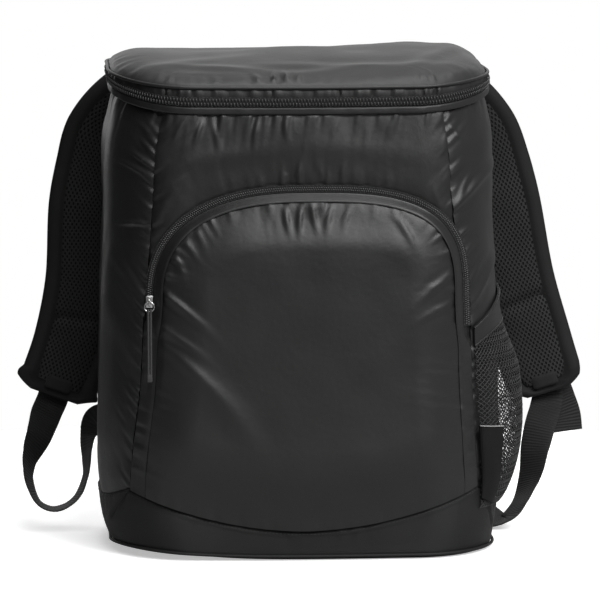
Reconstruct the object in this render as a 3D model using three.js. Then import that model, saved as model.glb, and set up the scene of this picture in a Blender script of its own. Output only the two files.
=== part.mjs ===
// Cooler backpack: a soft insulated box with a zipped lid, a zipped front pocket, a mesh side pocket
// and two padded straps. Millimetres, +Z up, front towards -Y, origin at the centre of the base.
import * as THREE from 'three';

// Body
const bagWidth = 302;
const bagDepth = 166;
const bagHeight = 372;
const paddedWall = 5;
const cornerWide = 60;
const cornerDeep = 70;
const backCorner = 30;
const lidBackCorner = 46;
const seamShare = 0.005;
const seamGap = 0.3;
const skinGap = 0.4;

// Base
const baseSeamFront = 22;
const baseSeamCorner = 52;
const baseSeamSide = 40;
const scoopPower = 1.9;
const baseWall = 4;
const baseFillet = 5.5;
const cornerRise = 6;
const pipingRadius = 1.2;
const basePipingTurn = 0.8;

// Lid and its zip
const zipDrop = 32;
const zipHeight = bagHeight - zipDrop;
const zipRise = 17;
const zipRun = 108;
const bandFront = 10.5;
const bandSide = 5.4;
const bandWall = 3;
const lidThickness = 6.5;
const lidCrown = 3;
const lidTilt = 1;
const zipTapeWidth = 7;
const tapeThickness = 0.9;
const zipCoilWidth = 4.6;
const coilThickness = 1.6;
const stripHeight = 5.4;
const stripThickness = 1.2;
const hingeDrop = 12;

// Front pocket
const pocketShoulder = 192;
const pocketTop = 276.5;
const pocketZipTape = 5.6;
const pocketCoil = 2.6;
const zipRunDown = 22;
const footStand = 1.6;
const gussetWidth = 9;
const gussetRise = 4.6;
const pocketPuff = 12;
const clothThickness = 1.5;

// Zip slider and its pull
const sliderLength = 9;
const sliderWidth = 5.2;
const ringRadius = 3.6;
const ringWire = 0.6;
const pullLength = 52;
const pullWidth = 3.8;
const pullCord = 0.8;
const pullLean = 0.085;

// Mesh side pocket and label
const meshFoot = 34;
const meshMouthFront = 171;
const meshMouthSide = 196;
const meshBandFront = 14;
const meshBandSide = 24;
const meshBulge = 17;
const mouthShare = 0.3;
const mouthRun = 0.7;
const sideSwell = 0.6;
const footSwell = 0.85;
const bulgePower = 0.75;
const meshThickness = 1.5;
const labelHeight = 55;
const labelWidth = 14;
const labelFoot = 42;
const labelThickness = 0.9;
const labelLean = 6;

// Straps
const strapReach = 32;
const padThickness = 11;
const padSkin = 3;
const padBorder = 11;
const padCrown = 0.5;
const padSoft = 2.4;
const patchFrom = 0.83;
const patchTo = 0.93;
const patchWidth = 20;
const webWidth = 24;
const webThickness = 1.6;
const adjusterWidth = 32;
const adjusterLength = 20;
const adjusterThickness = 3.5;
const adjusterBar = 4;

// Heights are shares of bagHeight, widths of half bagWidth, depths of bagDepth; the seam columns say how
// far round the front corner the upright seams run.
const bodySections = [
  { up: 0.000, wide: 0.957, front: 0.500, back: 0.470, crown: 0.022, seamLeft: 0.460, seamRight: 0.480 },
  { up: 0.054, wide: 0.977, front: 0.502, back: 0.488, crown: 0.024, seamLeft: 0.450, seamRight: 0.480 },
  { up: 0.140, wide: 0.992, front: 0.502, back: 0.497, crown: 0.026, seamLeft: 0.450, seamRight: 0.480 },
  { up: 0.210, wide: 0.996, front: 0.502, back: 0.500, crown: 0.026, seamLeft: 0.420, seamRight: 0.450 },
  { up: 0.341, wide: 0.990, front: 0.500, back: 0.500, crown: 0.026, seamLeft: 0.356, seamRight: 0.420 },
  { up: 0.460, wide: 0.984, front: 0.500, back: 0.500, crown: 0.026, seamLeft: 0.336, seamRight: 0.412 },
  { up: 0.556, wide: 0.977, front: 0.500, back: 0.500, crown: 0.024, seamLeft: 0.316, seamRight: 0.400 },
  { up: 0.621, wide: 0.971, front: 0.500, back: 0.500, crown: 0.022, seamLeft: 0.302, seamRight: 0.352 },
  { up: 0.672, wide: 0.967, front: 0.497, back: 0.500, crown: 0.020, seamLeft: 0.292, seamRight: 0.275 },
  { up: 0.820, wide: 0.957, front: 0.494, back: 0.494, crown: 0.020, seamLeft: 0.269, seamRight: 0.242 },
  { up: 0.880, wide: 0.938, front: 0.489, back: 0.484, crown: 0.020, seamLeft: 0.262, seamRight: 0.238 },
  { up: 0.920, wide: 0.933, front: 0.488, back: 0.482, crown: 0.020, seamLeft: 0.257, seamRight: 0.236 },
  { up: 0.970, wide: 0.932, front: 0.488, back: 0.482, crown: 0.020, seamLeft: 0.255, seamRight: 0.235 },
  { up: 1.000, wide: 0.918, front: 0.488, back: 0.482, crown: 0.020, seamLeft: 0.255, seamRight: 0.235 },
];

// Middle line of each shoulder pad, from its sewn top end to its lower end. Left and right are shares of
// half bagWidth, back of strapReach, up of bagHeight, and wide of a full pad's width.
const padWidth = 61;
const padPath = [
  { left: 0.318, right: 0.318, back: 0.160, up: 0.855, wide: 0.82 },
  { left: 0.464, right: 0.464, back: 0.300, up: 0.902, wide: 0.84 },
  { left: 0.649, right: 0.662, back: 0.550, up: 0.912, wide: 0.86 },
  { left: 0.822, right: 0.850, back: 0.800, up: 0.872, wide: 0.90 },
  { left: 0.946, right: 0.980, back: 0.930, up: 0.806, wide: 0.97 },
  { left: 0.988, right: 1.040, back: 0.950, up: 0.735, wide: 1.00 },
  { left: 1.023, right: 1.088, back: 0.890, up: 0.659, wide: 1.00 },
  { left: 1.044, right: 1.160, back: 0.780, up: 0.500, wide: 1.00 },
  { left: 1.106, right: 1.245, back: 0.640, up: 0.376, wide: 1.00 },
  { left: 1.165, right: 1.295, back: 0.540, up: 0.306, wide: 1.00 },
  { left: 1.190, right: 1.315, back: 0.510, up: 0.281, wide: 0.95 },
  { left: 1.205, right: 1.327, back: 0.490, up: 0.264, wide: 0.72 },
];

// Webbing from the adjuster to the lower back corner. Its flat side faces the front at turn 0 and the
// right at turn 90, and looks up by tip degrees.
const webPathLeft = [
  { out: 1.190, back: 0.905, up: 0.300, turn: 0, tip: 0 },
  { out: 1.205, back: 0.880, up: 0.262, turn: 2, tip: 0 },
  { out: 1.246, back: 0.600, up: 0.226, turn: 6, tip: 0 },
  { out: 1.284, back: 0.220, up: 0.187, turn: 30, tip: 0 },
  { out: 1.332, back: -0.090, up: 0.145, turn: 62, tip: 0 },
  { out: 1.341, back: -0.310, up: 0.115, turn: 76, tip: 10 },
  { out: 1.322, back: -0.470, up: 0.081, turn: 84, tip: 35 },
  { out: 1.281, back: -0.530, up: 0.053, turn: 88, tip: 60 },
  { out: 1.211, back: -0.530, up: 0.042, turn: 90, tip: 90 },
  { out: 1.137, back: -0.470, up: 0.051, turn: -90, tip: 60 },
  { out: 1.088, back: -0.400, up: 0.069, turn: -86, tip: 35 },
  { out: 1.060, back: -0.310, up: 0.093, turn: -82, tip: 12 },
  { out: 1.043, back: -0.190, up: 0.118, turn: -78, tip: 0 },
  { out: 1.040, back: 0.000, up: 0.151, turn: -72, tip: 0 },
  { out: 1.030, back: 0.170, up: 0.186, turn: -60, tip: 0 },
  { out: 0.985, back: 0.270, up: 0.214, turn: -35, tip: 0 },
  { out: 0.880, back: 0.170, up: 0.222, turn: -8, tip: 0 },
  { out: 0.760, back: 0.044, up: 0.214, turn: 0, tip: 0 },
  { out: 0.640, back: 0.044, up: 0.206, turn: 0, tip: 0 },
];
const webPathRight = [
  { out: 1.305, back: 0.868, up: 0.305, turn: 0, tip: 0 },
  { out: 1.333, back: 0.845, up: 0.258, turn: 2, tip: 0 },
  { out: 1.318, back: 0.700, up: 0.228, turn: -4, tip: 0 },
  { out: 1.290, back: 0.500, up: 0.198, turn: -14, tip: 0 },
  { out: 1.258, back: 0.300, up: 0.150, turn: -30, tip: 0 },
  { out: 1.236, back: 0.100, up: 0.108, turn: -44, tip: 8 },
  { out: 1.198, back: -0.100, up: 0.069, turn: -58, tip: 24 },
  { out: 1.142, back: -0.260, up: 0.040, turn: -72, tip: 50 },
  { out: 1.080, back: -0.270, up: 0.021, turn: -84, tip: 74 },
  { out: 1.010, back: -0.080, up: 0.018, turn: -80, tip: 84 },
  { out: 0.940, back: 0.090, up: 0.027, turn: -40, tip: 52 },
  { out: 0.860, back: 0.090, up: 0.037, turn: 0, tip: 6 },
  { out: 0.740, back: 0.034, up: 0.042, turn: 0, tip: 0 },
];
const tailPath = [
  { out: 1.358, back: 0.948, up: 0.290, turn: 0, tip: 0 },
  { out: 1.400, back: 0.908, up: 0.245, turn: 8, tip: 0 },
  { out: 1.430, back: 0.880, up: 0.210, turn: 14, tip: 0 },
  { out: 1.440, back: 0.830, up: 0.178, turn: 18, tip: 0 },
];

const quarter = Math.PI / 2;
const mix = (from, to, share) => from + (to - from) * share;
const clamp = THREE.MathUtils.clamp;
const smooth = share => share * share * (3 - 2 * share);

// Reads a table smoothly between its rows, which are sorted by their key column.
function readTable(table, key, at) {
  let row = 0;
  while (row < table.length - 2 && at > table[row + 1][key]) row++;
  const span = table[row + 1][key] - table[row][key];
  const t = clamp((at - table[row][key]) / span, 0, 1);
  const slope = (index, name) => {
    const before = table[Math.max(index - 1, 0)];
    const after = table[Math.min(index + 1, table.length - 1)];
    return (after[name] - before[name]) / (after[key] - before[key]) * span;
  };
  const values = {};
  for (const name of Object.keys(table[row])) {
    values[name] = table[row][name] * (1 + 2 * t) * (1 - t) ** 2
      + slope(row, name) * t * (1 - t) ** 2
      + table[row + 1][name] * t * t * (3 - 2 * t)
      + slope(row + 1, name) * t * t * (t - 1);
  }
  return values;
}

// The back corners grow rounder over this stretch of height, up to the lid.
const lidCornerFrom = 275;
const lidCornerRun = 55;

// Plan outline of the bag at one height. The place runs 0..5 from the front centre to the back centre:
// front face, front corner, side, back corner and back face; below zero it is the left half.
function outline(place, height, inset = 0) {
  const section = readTable(bodySections, 'up', clamp(height / bagHeight, 0, 1));
  const way = Math.abs(place);
  const half = section.wide * bagWidth / 2 - inset;
  const front = -section.front * bagDepth + inset;
  const back = section.back * bagDepth - inset;
  const rx = cornerWide - inset;
  const ry = cornerDeep - inset;
  const rb = mix(backCorner, lidBackCorner, smooth(clamp((height - lidCornerFrom) / lidCornerRun, 0, 1))) - inset;
  let x = 0;
  let y = back;
  if (way <= 1) {
    x = way * (half - rx);
    y = front;
  } else if (way <= 2) {
    const angle = (way - 1) * quarter;
    x = half - rx + rx * Math.sin(angle);
    y = front + ry - ry * Math.cos(angle);
  } else if (way <= 3) {
    x = half;
    y = mix(front + ry, back - rb, way - 2);
  } else if (way <= 4) {
    const angle = (way - 3) * quarter;
    x = half - rb + rb * Math.cos(angle);
    y = back - rb + rb * Math.sin(angle);
  } else {
    x = (half - rb) * (5 - way);
  }
  if (way < 2) y -= section.crown * bagDepth * Math.cos(quarter * x / half) ** 2;
  return new THREE.Vector3(place < 0 ? -x : x, y, height);
}

// Columns run 0..7 round each half, with the front seam at 2 and the back seam at 5; past 7 they come
// round to the other half.
const frontSeam = 2;
const backSeam = 5;
const backCentre = 7;
const columnSteps = [4, 3, 4, 3, 2, 2, 3];
function place(column, height) {
  const way = Math.abs(column);
  if (way > backCentre) return place(Math.sign(column) * (way - 2 * backCentre), height);
  const section = readTable(bodySections, 'up', clamp(height / bagHeight, 0, 1));
  const seam = column < 0 ? section.seamLeft : section.seamRight;
  let at = way;
  if (way > 1) at = 1 + seam * (way - 1);
  if (way > 2) at = 1 + seam + (1 - seam) * (way - 2);
  if (way > 3) at = way - 1;
  if (way > 4) at = 3 + (way - 4) / 2;
  if (way > 6) at = way - 2;
  return Math.sign(column) * at;
}
const skin = (column, height, inset = 0) => outline(place(column, height), height, inset);

function columnsBetween(from, to) {
  const list = [from];
  for (let zone = Math.floor(from); zone < to; zone++) {
    const way = zone < 0 ? -zone - 1 : zone;
    const index = way < backCentre ? way : 2 * backCentre - 1 - way;
    for (let step = 0; step < columnSteps[index]; step++) {
      const column = zone + step / columnSteps[index];
      if (column > from + 0.02 && column < to - 0.02) list.push(column);
    }
  }
  list.push(to);
  return list;
}
const wholeRound = columnsBetween(-backCentre, backCentre).slice(0, -1);

// Height of the main zip's middle line over a place in plan, and of the lid's seam above it.
const rimShare = 0.93;
const rimFront = outline(0, rimShare * bagHeight).y;
const rimRun = y => Math.sin(clamp((y - rimFront) / zipRun, 0, 1) * quarter);
const zipLevel = (x, y) => zipHeight + zipRise * rimRun(y) + lidTilt * 2 * x / bagWidth * rimRun(y);
const lidLevel = (x, y) => zipLevel(x, y) + mix(bandFront, bandSide, rimRun(y));
function rim(column, above, inset) {
  const foot = skin(column, rimShare * bagHeight);
  return skin(column, zipLevel(foot.x, foot.y) + above, inset);
}
function lidEdge(column, above, inset) {
  const foot = skin(column, rimShare * bagHeight);
  return skin(column, lidLevel(foot.x, foot.y) + above, inset);
}

// Height of the base seam: a scoop across the front, highest at the upright seams.
function baseSeam(column) {
  let way = Math.abs(column);
  if (way > backCentre) way = 2 * backCentre - way;
  if (way <= frontSeam) {
    const reach = skin(frontSeam, baseSeamCorner).x;
    const share = clamp(skin(way, baseSeamCorner).x / reach, 0, 1);
    return mix(baseSeamFront, baseSeamCorner, share ** scoopPower);
  }
  return mix(baseSeamCorner, baseSeamSide, smooth(clamp(way - frontSeam, 0, 1)));
}

// Closed meshes
function solid(vertices, triangles) {
  let volume = 0;
  for (const [a, b, c] of triangles) {
    volume += vertices[a].dot(new THREE.Vector3().crossVectors(vertices[b], vertices[c]));
  }
  const geometry = new THREE.BufferGeometry();
  geometry.setAttribute('position', new THREE.Float32BufferAttribute(vertices.flatMap(v => v.toArray()), 3));
  geometry.setIndex(triangles.flatMap(([a, b, c]) => (volume > 0 ? [a, b, c] : [a, c, b])));
  geometry.computeVertexNormals();
  return geometry;
}

// A body between an outer and an inner grid of points; a wrapped grid closes on itself round its rows.
function sheet(outer, inner, wrapped = false) {
  const rows = outer.length;
  const across = outer[0].length;
  const layer = rows * across;
  const vertices = [...outer.flat(), ...inner.flat()];
  const triangles = [];
  const quad = (a, b, c, d) => triangles.push([a, b, c], [a, c, d]);
  const at = (row, column, inside) => inside * layer + row * across + column % across;
  const spans = wrapped ? across : across - 1;
  for (let row = 0; row < rows - 1; row++) {
    for (let i = 0; i < spans; i++) {
      quad(at(row, i, 0), at(row, i + 1, 0), at(row + 1, i + 1, 0), at(row + 1, i, 0));
      quad(at(row, i, 1), at(row + 1, i, 1), at(row + 1, i + 1, 1), at(row, i + 1, 1));
    }
    if (!wrapped) {
      quad(at(row, 0, 0), at(row + 1, 0, 0), at(row + 1, 0, 1), at(row, 0, 1));
      quad(at(row, spans, 0), at(row, spans, 1), at(row + 1, spans, 1), at(row + 1, spans, 0));
    }
  }
  for (let i = 0; i < spans; i++) {
    quad(at(0, i, 0), at(0, i, 1), at(0, i + 1, 1), at(0, i + 1, 0));
    quad(at(rows - 1, i, 0), at(rows - 1, i + 1, 0), at(rows - 1, i + 1, 1), at(rows - 1, i, 1));
  }
  return solid(vertices, triangles);
}

// A body through a stack of closed rings whose first and last close on one point each.
function stack(rings, firstPoint, lastPoint) {
  const around = rings[0].length;
  const vertices = [...rings.flat(), firstPoint, lastPoint];
  const first = vertices.length - 2;
  const last = vertices.length - 1;
  const triangles = [];
  for (let i = 0; i < around; i++) {
    const next = (i + 1) % around;
    triangles.push([first, next, i]);
    for (let ring = 0; ring < rings.length - 1; ring++) {
      const low = ring * around;
      const high = low + around;
      triangles.push([low + i, low + next, high + next], [low + i, high + next, high + i]);
    }
    const top = (rings.length - 1) * around;
    triangles.push([last, top + i, top + next]);
  }
  return solid(vertices, triangles);
}

// A body swept through closed sections, with flat ends unless it is a loop.
function sweep(sections, loop = false) {
  const around = sections[0].length;
  const vertices = sections.flat();
  const triangles = [];
  const spans = loop ? sections.length : sections.length - 1;
  for (let s = 0; s < spans; s++) {
    const low = s * around;
    const high = ((s + 1) % sections.length) * around;
    for (let i = 0; i < around; i++) {
      const next = (i + 1) % around;
      triangles.push([low + i, low + next, high + next], [low + i, high + next, high + i]);
    }
  }
  return { vertices, triangles, around, count: sections.length };
}
function sweptSolid(sections, profile = null) {
  const { vertices, triangles, around, count } = sweep(sections);
  const flat = profile ?? [[0, 0], [1, 0], [1, 1], [0, 1]];
  const contour = flat.map(([x, y]) => new THREE.Vector2(x, y));
  const end = (count - 1) * around;
  for (const face of THREE.ShapeUtils.triangulateShape(contour, [])) {
    const [a, b, c] = THREE.ShapeUtils.isClockWise(contour) ? face.toReversed() : face;
    triangles.push([a, c, b], [end + a, end + b, end + c]);
  }
  return solid(vertices, triangles);
}
function loopSolid(sections) {
  const { vertices, triangles } = sweep(sections, true);
  return solid(vertices, triangles);
}

const cloth = new THREE.MeshStandardMaterial({ color: 0x2b2b2c, roughness: 0.55, metalness: 0 });
const heavyCloth = new THREE.MeshStandardMaterial({ color: 0x242425, roughness: 0.7, metalness: 0 });
const tape = new THREE.MeshStandardMaterial({ color: 0x1b1b1c, roughness: 0.8, metalness: 0 });
const coil = new THREE.MeshStandardMaterial({ color: 0x3a3a3c, roughness: 0.4, metalness: 0 });
const net = new THREE.MeshStandardMaterial({ color: 0x161617, roughness: 0.85, metalness: 0 });
const web = new THREE.MeshStandardMaterial({ color: 0x202021, roughness: 0.8, metalness: 0 });
const plastic = new THREE.MeshStandardMaterial({ color: 0x151516, roughness: 0.4, metalness: 0 });
const nickel = new THREE.MeshStandardMaterial({ color: 0xc9c9cb, roughness: 0.25, metalness: 1 });

const bag = new THREE.Group();
function add(name, geometry, material, parent = bag) {
  const mesh = new THREE.Mesh(geometry, material);
  mesh.name = name;
  parent.add(mesh);
  return mesh;
}

// Body walls, each between two upright seams, from the base seam to the main zip
const panelRows = [0, 0.08, 0.2, 0.34, 0.48, 0.6, 0.72, 0.82, 0.89, 0.93, 0.965, 1];
function wall(from, to) {
  const columns = columnsBetween(from + seamShare, to - seamShare);
  const grid = inset => panelRows.map(share => columns.map(column => {
    const low = baseSeam(column) + seamGap / 2;
    const high = rim(column, -seamGap, 0).z;
    return skin(column, mix(low, high, share), inset);
  }));
  return sheet(grid(0), grid(paddedWall));
}
add('front_panel', wall(-frontSeam, frontSeam), cloth);
add('side_panel_right', wall(frontSeam, backSeam), cloth);
add('side_panel_left', wall(-backSeam, -frontSeam), cloth);
add('back_panel', wall(backSeam, 2 * backCentre - backSeam), heavyCloth);

// Base pan: flat floor, soft lower edge that lifts a little at the left front corner, and low walls
const filletShare = 0.6;
const risePlace = -1.7;
const riseSpread = 0.6;
const liftAt = column => {
  const way = (place(column, 0) - risePlace) / riseSpread;
  return cornerRise * Math.exp(-way * way);
};
function fillet(column, share, wall) {
  const angle = share * quarter;
  const reach = baseFillet - wall;
  const point = skin(column, baseFillet - reach * Math.cos(angle), baseFillet - reach * Math.sin(angle));
  point.z += liftAt(column) * (1 - share * filletShare);
  return point;
}
const flatShare = 0.72;
const floorShare = 0.4;
function basePan() {
  const inward = (column, share, height, inset) => {
    const edge = skin(column, baseFillet, inset + baseFillet);
    return new THREE.Vector3(edge.x * share, edge.y * share, height);
  };
  const high = (column, share, wall) => {
    const low = baseFillet + liftAt(column) * (1 - filletShare);
    return skin(column, mix(low, baseSeam(column) - seamGap / 2, share), wall);
  };
  const outer = [
    wholeRound.map(column => inward(column, floorShare, 0, 0)),
    wholeRound.map(column => inward(column, flatShare, 0, 0)),
    wholeRound.map(column => fillet(column, 0, 0)),
    wholeRound.map(column => fillet(column, 0.5, 0)),
    wholeRound.map(column => fillet(column, 1, 0)),
    wholeRound.map(column => high(column, 0.5, 0)),
    wholeRound.map(column => high(column, 1, 0)),
  ];
  const inner = [
    wholeRound.map(column => high(column, 1, baseWall)),
    wholeRound.map(column => high(column, 0.4, baseWall)),
    wholeRound.map(column => fillet(column, 0.6, baseWall)),
    wholeRound.map(column => inward(column, flatShare, baseWall, baseWall)),
  ];
  return stack([...outer, ...inner], new THREE.Vector3(0, 0, 0), new THREE.Vector3(0, 0, baseWall));
}
add('base', basePan(), heavyCloth);

// Piping: a round bead against the skin
const beadSides = 6;
function bead(centres, outwards) {
  return loopSolid(centres.map((centre, index) => {
    const out = outwards[index];
    return Array.from({ length: beadSides }, (_, side) => {
      const angle = side / beadSides * 4 * quarter;
      return centre.clone().addScaledVector(out, pipingRadius * Math.cos(angle))
        .add(new THREE.Vector3(0, 0, pipingRadius * Math.sin(angle)));
    });
  }));
}
function beadRound(pointAt) {
  const stand = pipingRadius + skinGap;
  const centres = wholeRound.map(column => pointAt(column, -stand));
  const outwards = wholeRound.map((column, index) => (
    centres[index].clone().sub(pointAt(column, 0)).setZ(0).normalize()));
  return bead(centres, outwards);
}
add('base_piping', beadRound((column, inset) => fillet(column, basePipingTurn, inset)), heavyCloth);

// Bands round the mouth, each lying on the skin between two heights measured from the zip's middle line
const zipEnd = 6.1;
const zipColumns = columnsBetween(-zipEnd, zipEnd);
const zipReach = zipTapeWidth / 2;
function rimBand(columns, low, high, stand, thickness, wrapped = false) {
  const grid = inset => [low, high].map(above => columns.map(column => rim(column, above, inset)));
  return sheet(grid(-stand - thickness), grid(-stand), wrapped);
}
add('lid_zip_tape', rimBand(zipColumns, -zipReach, zipReach, skinGap, tapeThickness), tape);
const coilStand = 2 * skinGap + tapeThickness;
const coilReach = zipCoilWidth / 2;
add('lid_zip_coil', rimBand(zipColumns, -coilReach, coilReach, coilStand, coilThickness), coil);
const stripTop = -zipReach - seamGap;
add('storm_strip', rimBand(zipColumns, stripTop - stripHeight, stripTop, skinGap, stripThickness), cloth);
const hingeTop = bandSide - pipingRadius - 2 * seamGap;
const hingeColumns = columnsBetween(zipEnd + seamShare * 2, 2 * backCentre - zipEnd - seamShare * 2);
add('lid_hinge', rimBand(hingeColumns, -hingeDrop, hingeTop, skinGap, clothThickness), heavyCloth);

// Gathered band of the lid, above the zip
function lidBand() {
  const low = column => rim(column, seamGap, 0).z;
  const grid = inset => [0, 1].map(share => wholeRound.map(column => {
    const high = lidEdge(column, -seamGap, 0).z;
    return skin(column, mix(low(column), high, share), inset);
  }));
  return sheet(grid(0), grid(bandWall), true);
}
add('lid_band', lidBand(), cloth);
add('lid_piping', beadRound((column, inset) => lidEdge(column, 0, inset)), cloth);

// Padded top of the lid: soft round edge, then a surface that follows the warped rim with a slight crown
const lidEdgeRows = [
  { inset: 0.0, rise: 0.00 },
  { inset: 0.1, rise: 0.25 },
  { inset: 0.4, rise: 0.58 },
  { inset: 1.1, rise: 0.86 },
  { inset: 2.2, rise: 1.00 },
];
const lidRings = [0.78, 0.5, 0.22];
function lidTop() {
  const flat = (column, share, thick) => {
    const edge = lidEdge(column, 0, lidThickness * lidEdgeRows.at(-1).inset);
    const x = edge.x * share;
    const y = edge.y * share;
    return new THREE.Vector3(x, y, lidLevel(x, y) + thick + lidCrown * (1 - share * share));
  };
  const edges = lidEdgeRows.map(row => wholeRound.map(
    column => lidEdge(column, row.rise * lidThickness, row.inset * lidThickness)));
  const tops = lidRings.map(share => wholeRound.map(column => flat(column, share, lidThickness)));
  const unders = lidRings.map(share => wholeRound.map(column => flat(column, share, 0)));
  const rings = [...unders.toReversed(), ...edges, ...tops];
  const under = lidLevel(0, 0) + lidCrown;
  return stack(rings, new THREE.Vector3(0, 0, under), new THREE.Vector3(0, 0, under + lidThickness));
}
add('lid_top', lidTop(), cloth);

// A point of the body's front at a place seen from the front
function frontPoint(x, height, stand) {
  let low = 0;
  let high = 2;
  for (let turn = 0; turn < 40; turn++) {
    const middle = (low + high) / 2;
    if (outline(middle, height, -stand).x < Math.abs(x)) low = middle;
    else high = middle;
  }
  return outline(Math.sign(x) * low, height, -stand);
}

// Edge of the front pocket, seen from the front: up the left seam, over an arch, down the right seam
const archLeft = 2.5;
const archRight = 3;
const legSteps = 7;
const archSteps = 20;
const seamX = (side, height) => skin(side * frontSeam, height).x - side * (pocketZipTape / 2 + seamGap);
function pocketLine() {
  const line = [];
  const left = seamX(-1, pocketShoulder);
  const right = seamX(1, pocketShoulder);
  const centre = (left + right) / 2;
  const half = (right - left) / 2;
  for (let step = 0; step < legSteps; step++) {
    const height = mix(baseSeamCorner, pocketShoulder, step / legSteps);
    line.push(new THREE.Vector2(seamX(-1, height), height));
  }
  for (let step = 0; step <= archSteps; step++) {
    const angle = (1 - step / archSteps) * 2 * quarter;
    const power = angle > quarter ? archLeft : archRight;
    const x = centre + half * Math.sign(Math.cos(angle)) * Math.abs(Math.cos(angle)) ** (2 / power);
    const height = mix(pocketShoulder, pocketTop, Math.abs(Math.sin(angle)) ** (2 / power));
    line.push(new THREE.Vector2(x, height));
  }
  for (let step = 1; step <= legSteps; step++) {
    const height = mix(pocketShoulder, baseSeamCorner, step / legSteps);
    line.push(new THREE.Vector2(seamX(1, height), height));
  }
  return line;
}
function inwardOf(line) {
  return line.map((point, index) => {
    const before = line[Math.max(index - 1, 0)];
    const after = line[Math.min(index + 1, line.length - 1)];
    const along = after.clone().sub(before).normalize();
    return new THREE.Vector2(along.y, -along.x);
  });
}
const pocketEdge = pocketLine();
const pocketIn = inwardOf(pocketEdge);
const edgeAt = (index, inward) => pocketEdge[index].clone().addScaledVector(pocketIn[index], inward);

// A flat strip along the pocket's edge, between two distances inward of it, with its own stand at each
function edgeStrip(from, to, outerWay, innerWay, outerStand, innerStand, thickness) {
  const sections = [];
  for (let index = from; index <= to; index++) {
    const outer = edgeAt(index, outerWay);
    const inner = edgeAt(index, innerWay);
    sections.push([
      frontPoint(outer.x, outer.y, outerStand),
      frontPoint(outer.x, outer.y, outerStand + thickness),
      frontPoint(inner.x, inner.y, innerStand + thickness),
      frontPoint(inner.x, inner.y, innerStand),
    ]);
  }
  return sweptSolid(sections);
}
const lastIndex = pocketEdge.length - 1;
const zipFirst = legSteps;
const zipLast = legSteps + archSteps + Math.round(zipRunDown / (pocketShoulder - baseSeamCorner) * legSteps);
const tapeReach = pocketZipTape / 2;
const coilHalf = pocketCoil / 2;
const tapeStrip = edgeStrip(zipFirst, zipLast, -tapeReach, tapeReach, skinGap, skinGap, tapeThickness);
add('pocket_zip_tape', tapeStrip, tape);
add('pocket_zip_coil', edgeStrip(zipFirst, zipLast, -coilHalf, coilHalf, coilStand, coilStand, coilThickness), coil);
const gussetOuter = tapeReach + seamGap;
const gussetInner = gussetOuter + gussetWidth;
const gussetStand = skinGap + gussetRise;
const gusset = edgeStrip(0, lastIndex, gussetOuter, gussetInner, skinGap, gussetStand, clothThickness);
add('pocket_gusset', gusset, cloth);

// Puffed front of the pocket, from the gusset down to the base seam
const panelRings = [1, 0.95, 0.86, 0.7, 0.42];
const footSteps = 9;
function pocketPanel() {
  const rimPoints = [];
  for (let index = 0; index <= lastIndex; index++) {
    const point = edgeAt(index, gussetInner + seamGap);
    rimPoints.push({ x: point.x, height: point.y, stand: gussetStand });
  }
  const first = rimPoints[0];
  const last = rimPoints.at(-1);
  const reach = skin(frontSeam, baseSeamCorner).x;
  const footHeight = x => mix(baseSeamFront, baseSeamCorner, clamp(Math.abs(x) / reach, 0, 1) ** scoopPower) + seamGap;
  for (let step = 1; step < footSteps; step++) {
    const x = mix(last.x, first.x, step / footSteps);
    rimPoints.push({ x, height: footHeight(x), stand: footStand });
  }
  first.height = footHeight(first.x);
  last.height = footHeight(last.x);
  first.stand = footStand;
  last.stand = footStand;
  const middle = new THREE.Vector2((first.x + last.x) / 2, (pocketShoulder + baseSeamFront) / 2);
  const at = (point, share, extra) => {
    const x = mix(middle.x, point.x, share);
    const height = mix(middle.y, point.height, share);
    const stand = point.stand * share ** 2 + pocketPuff * (1 - share ** 6);
    return frontPoint(x, height, stand + extra);
  };
  const outer = panelRings.map(share => rimPoints.map(point => at(point, share, clothThickness)));
  const inner = panelRings.map(share => rimPoints.map(point => at(point, share, 0)));
  const tip = frontPoint(middle.x, middle.y, pocketPuff + clothThickness);
  const root = frontPoint(middle.x, middle.y, pocketPuff);
  return stack([...inner.toReversed(), ...outer], root, tip);
}
add('pocket_panel', pocketPanel(), cloth);

// Zip slider at the left end of the pocket zip, with its ring and textile pull hanging from it
const sliderIndex = zipFirst;
const sliderAt = edgeAt(sliderIndex, 0);
const sliderSeat = coilStand + coilThickness + 2 * skinGap;
const sliderPoint = frontPoint(sliderAt.x, sliderAt.y, sliderSeat);
const sliderUnder = frontPoint(sliderAt.x, sliderAt.y, 0);
const sliderOut = sliderPoint.clone().sub(sliderUnder).setZ(0).normalize();
const hardware = new THREE.Group();
hardware.position.copy(sliderPoint);
hardware.rotation.z = Math.atan2(sliderOut.y, sliderOut.x);
bag.add(hardware);

// In this group X points out of the cloth, and Z up
const plateThickness = 1.2;
const wireGap = 0.3;
const eyeRadius = ringWire + wireGap;
const bridge = 0.9;
const eyeX = plateThickness + eyeRadius;
const ringSag = across => ringRadius - Math.sqrt(ringRadius ** 2 - across ** 2);
function extrudeAcross(shape, width) {
  const geometry = new THREE.ExtrudeGeometry(shape, { depth: width, bevelEnabled: false, curveSegments: 6 });
  geometry.rotateX(quarter);
  geometry.translate(0, width / 2, 0);
  return geometry;
}
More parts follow.
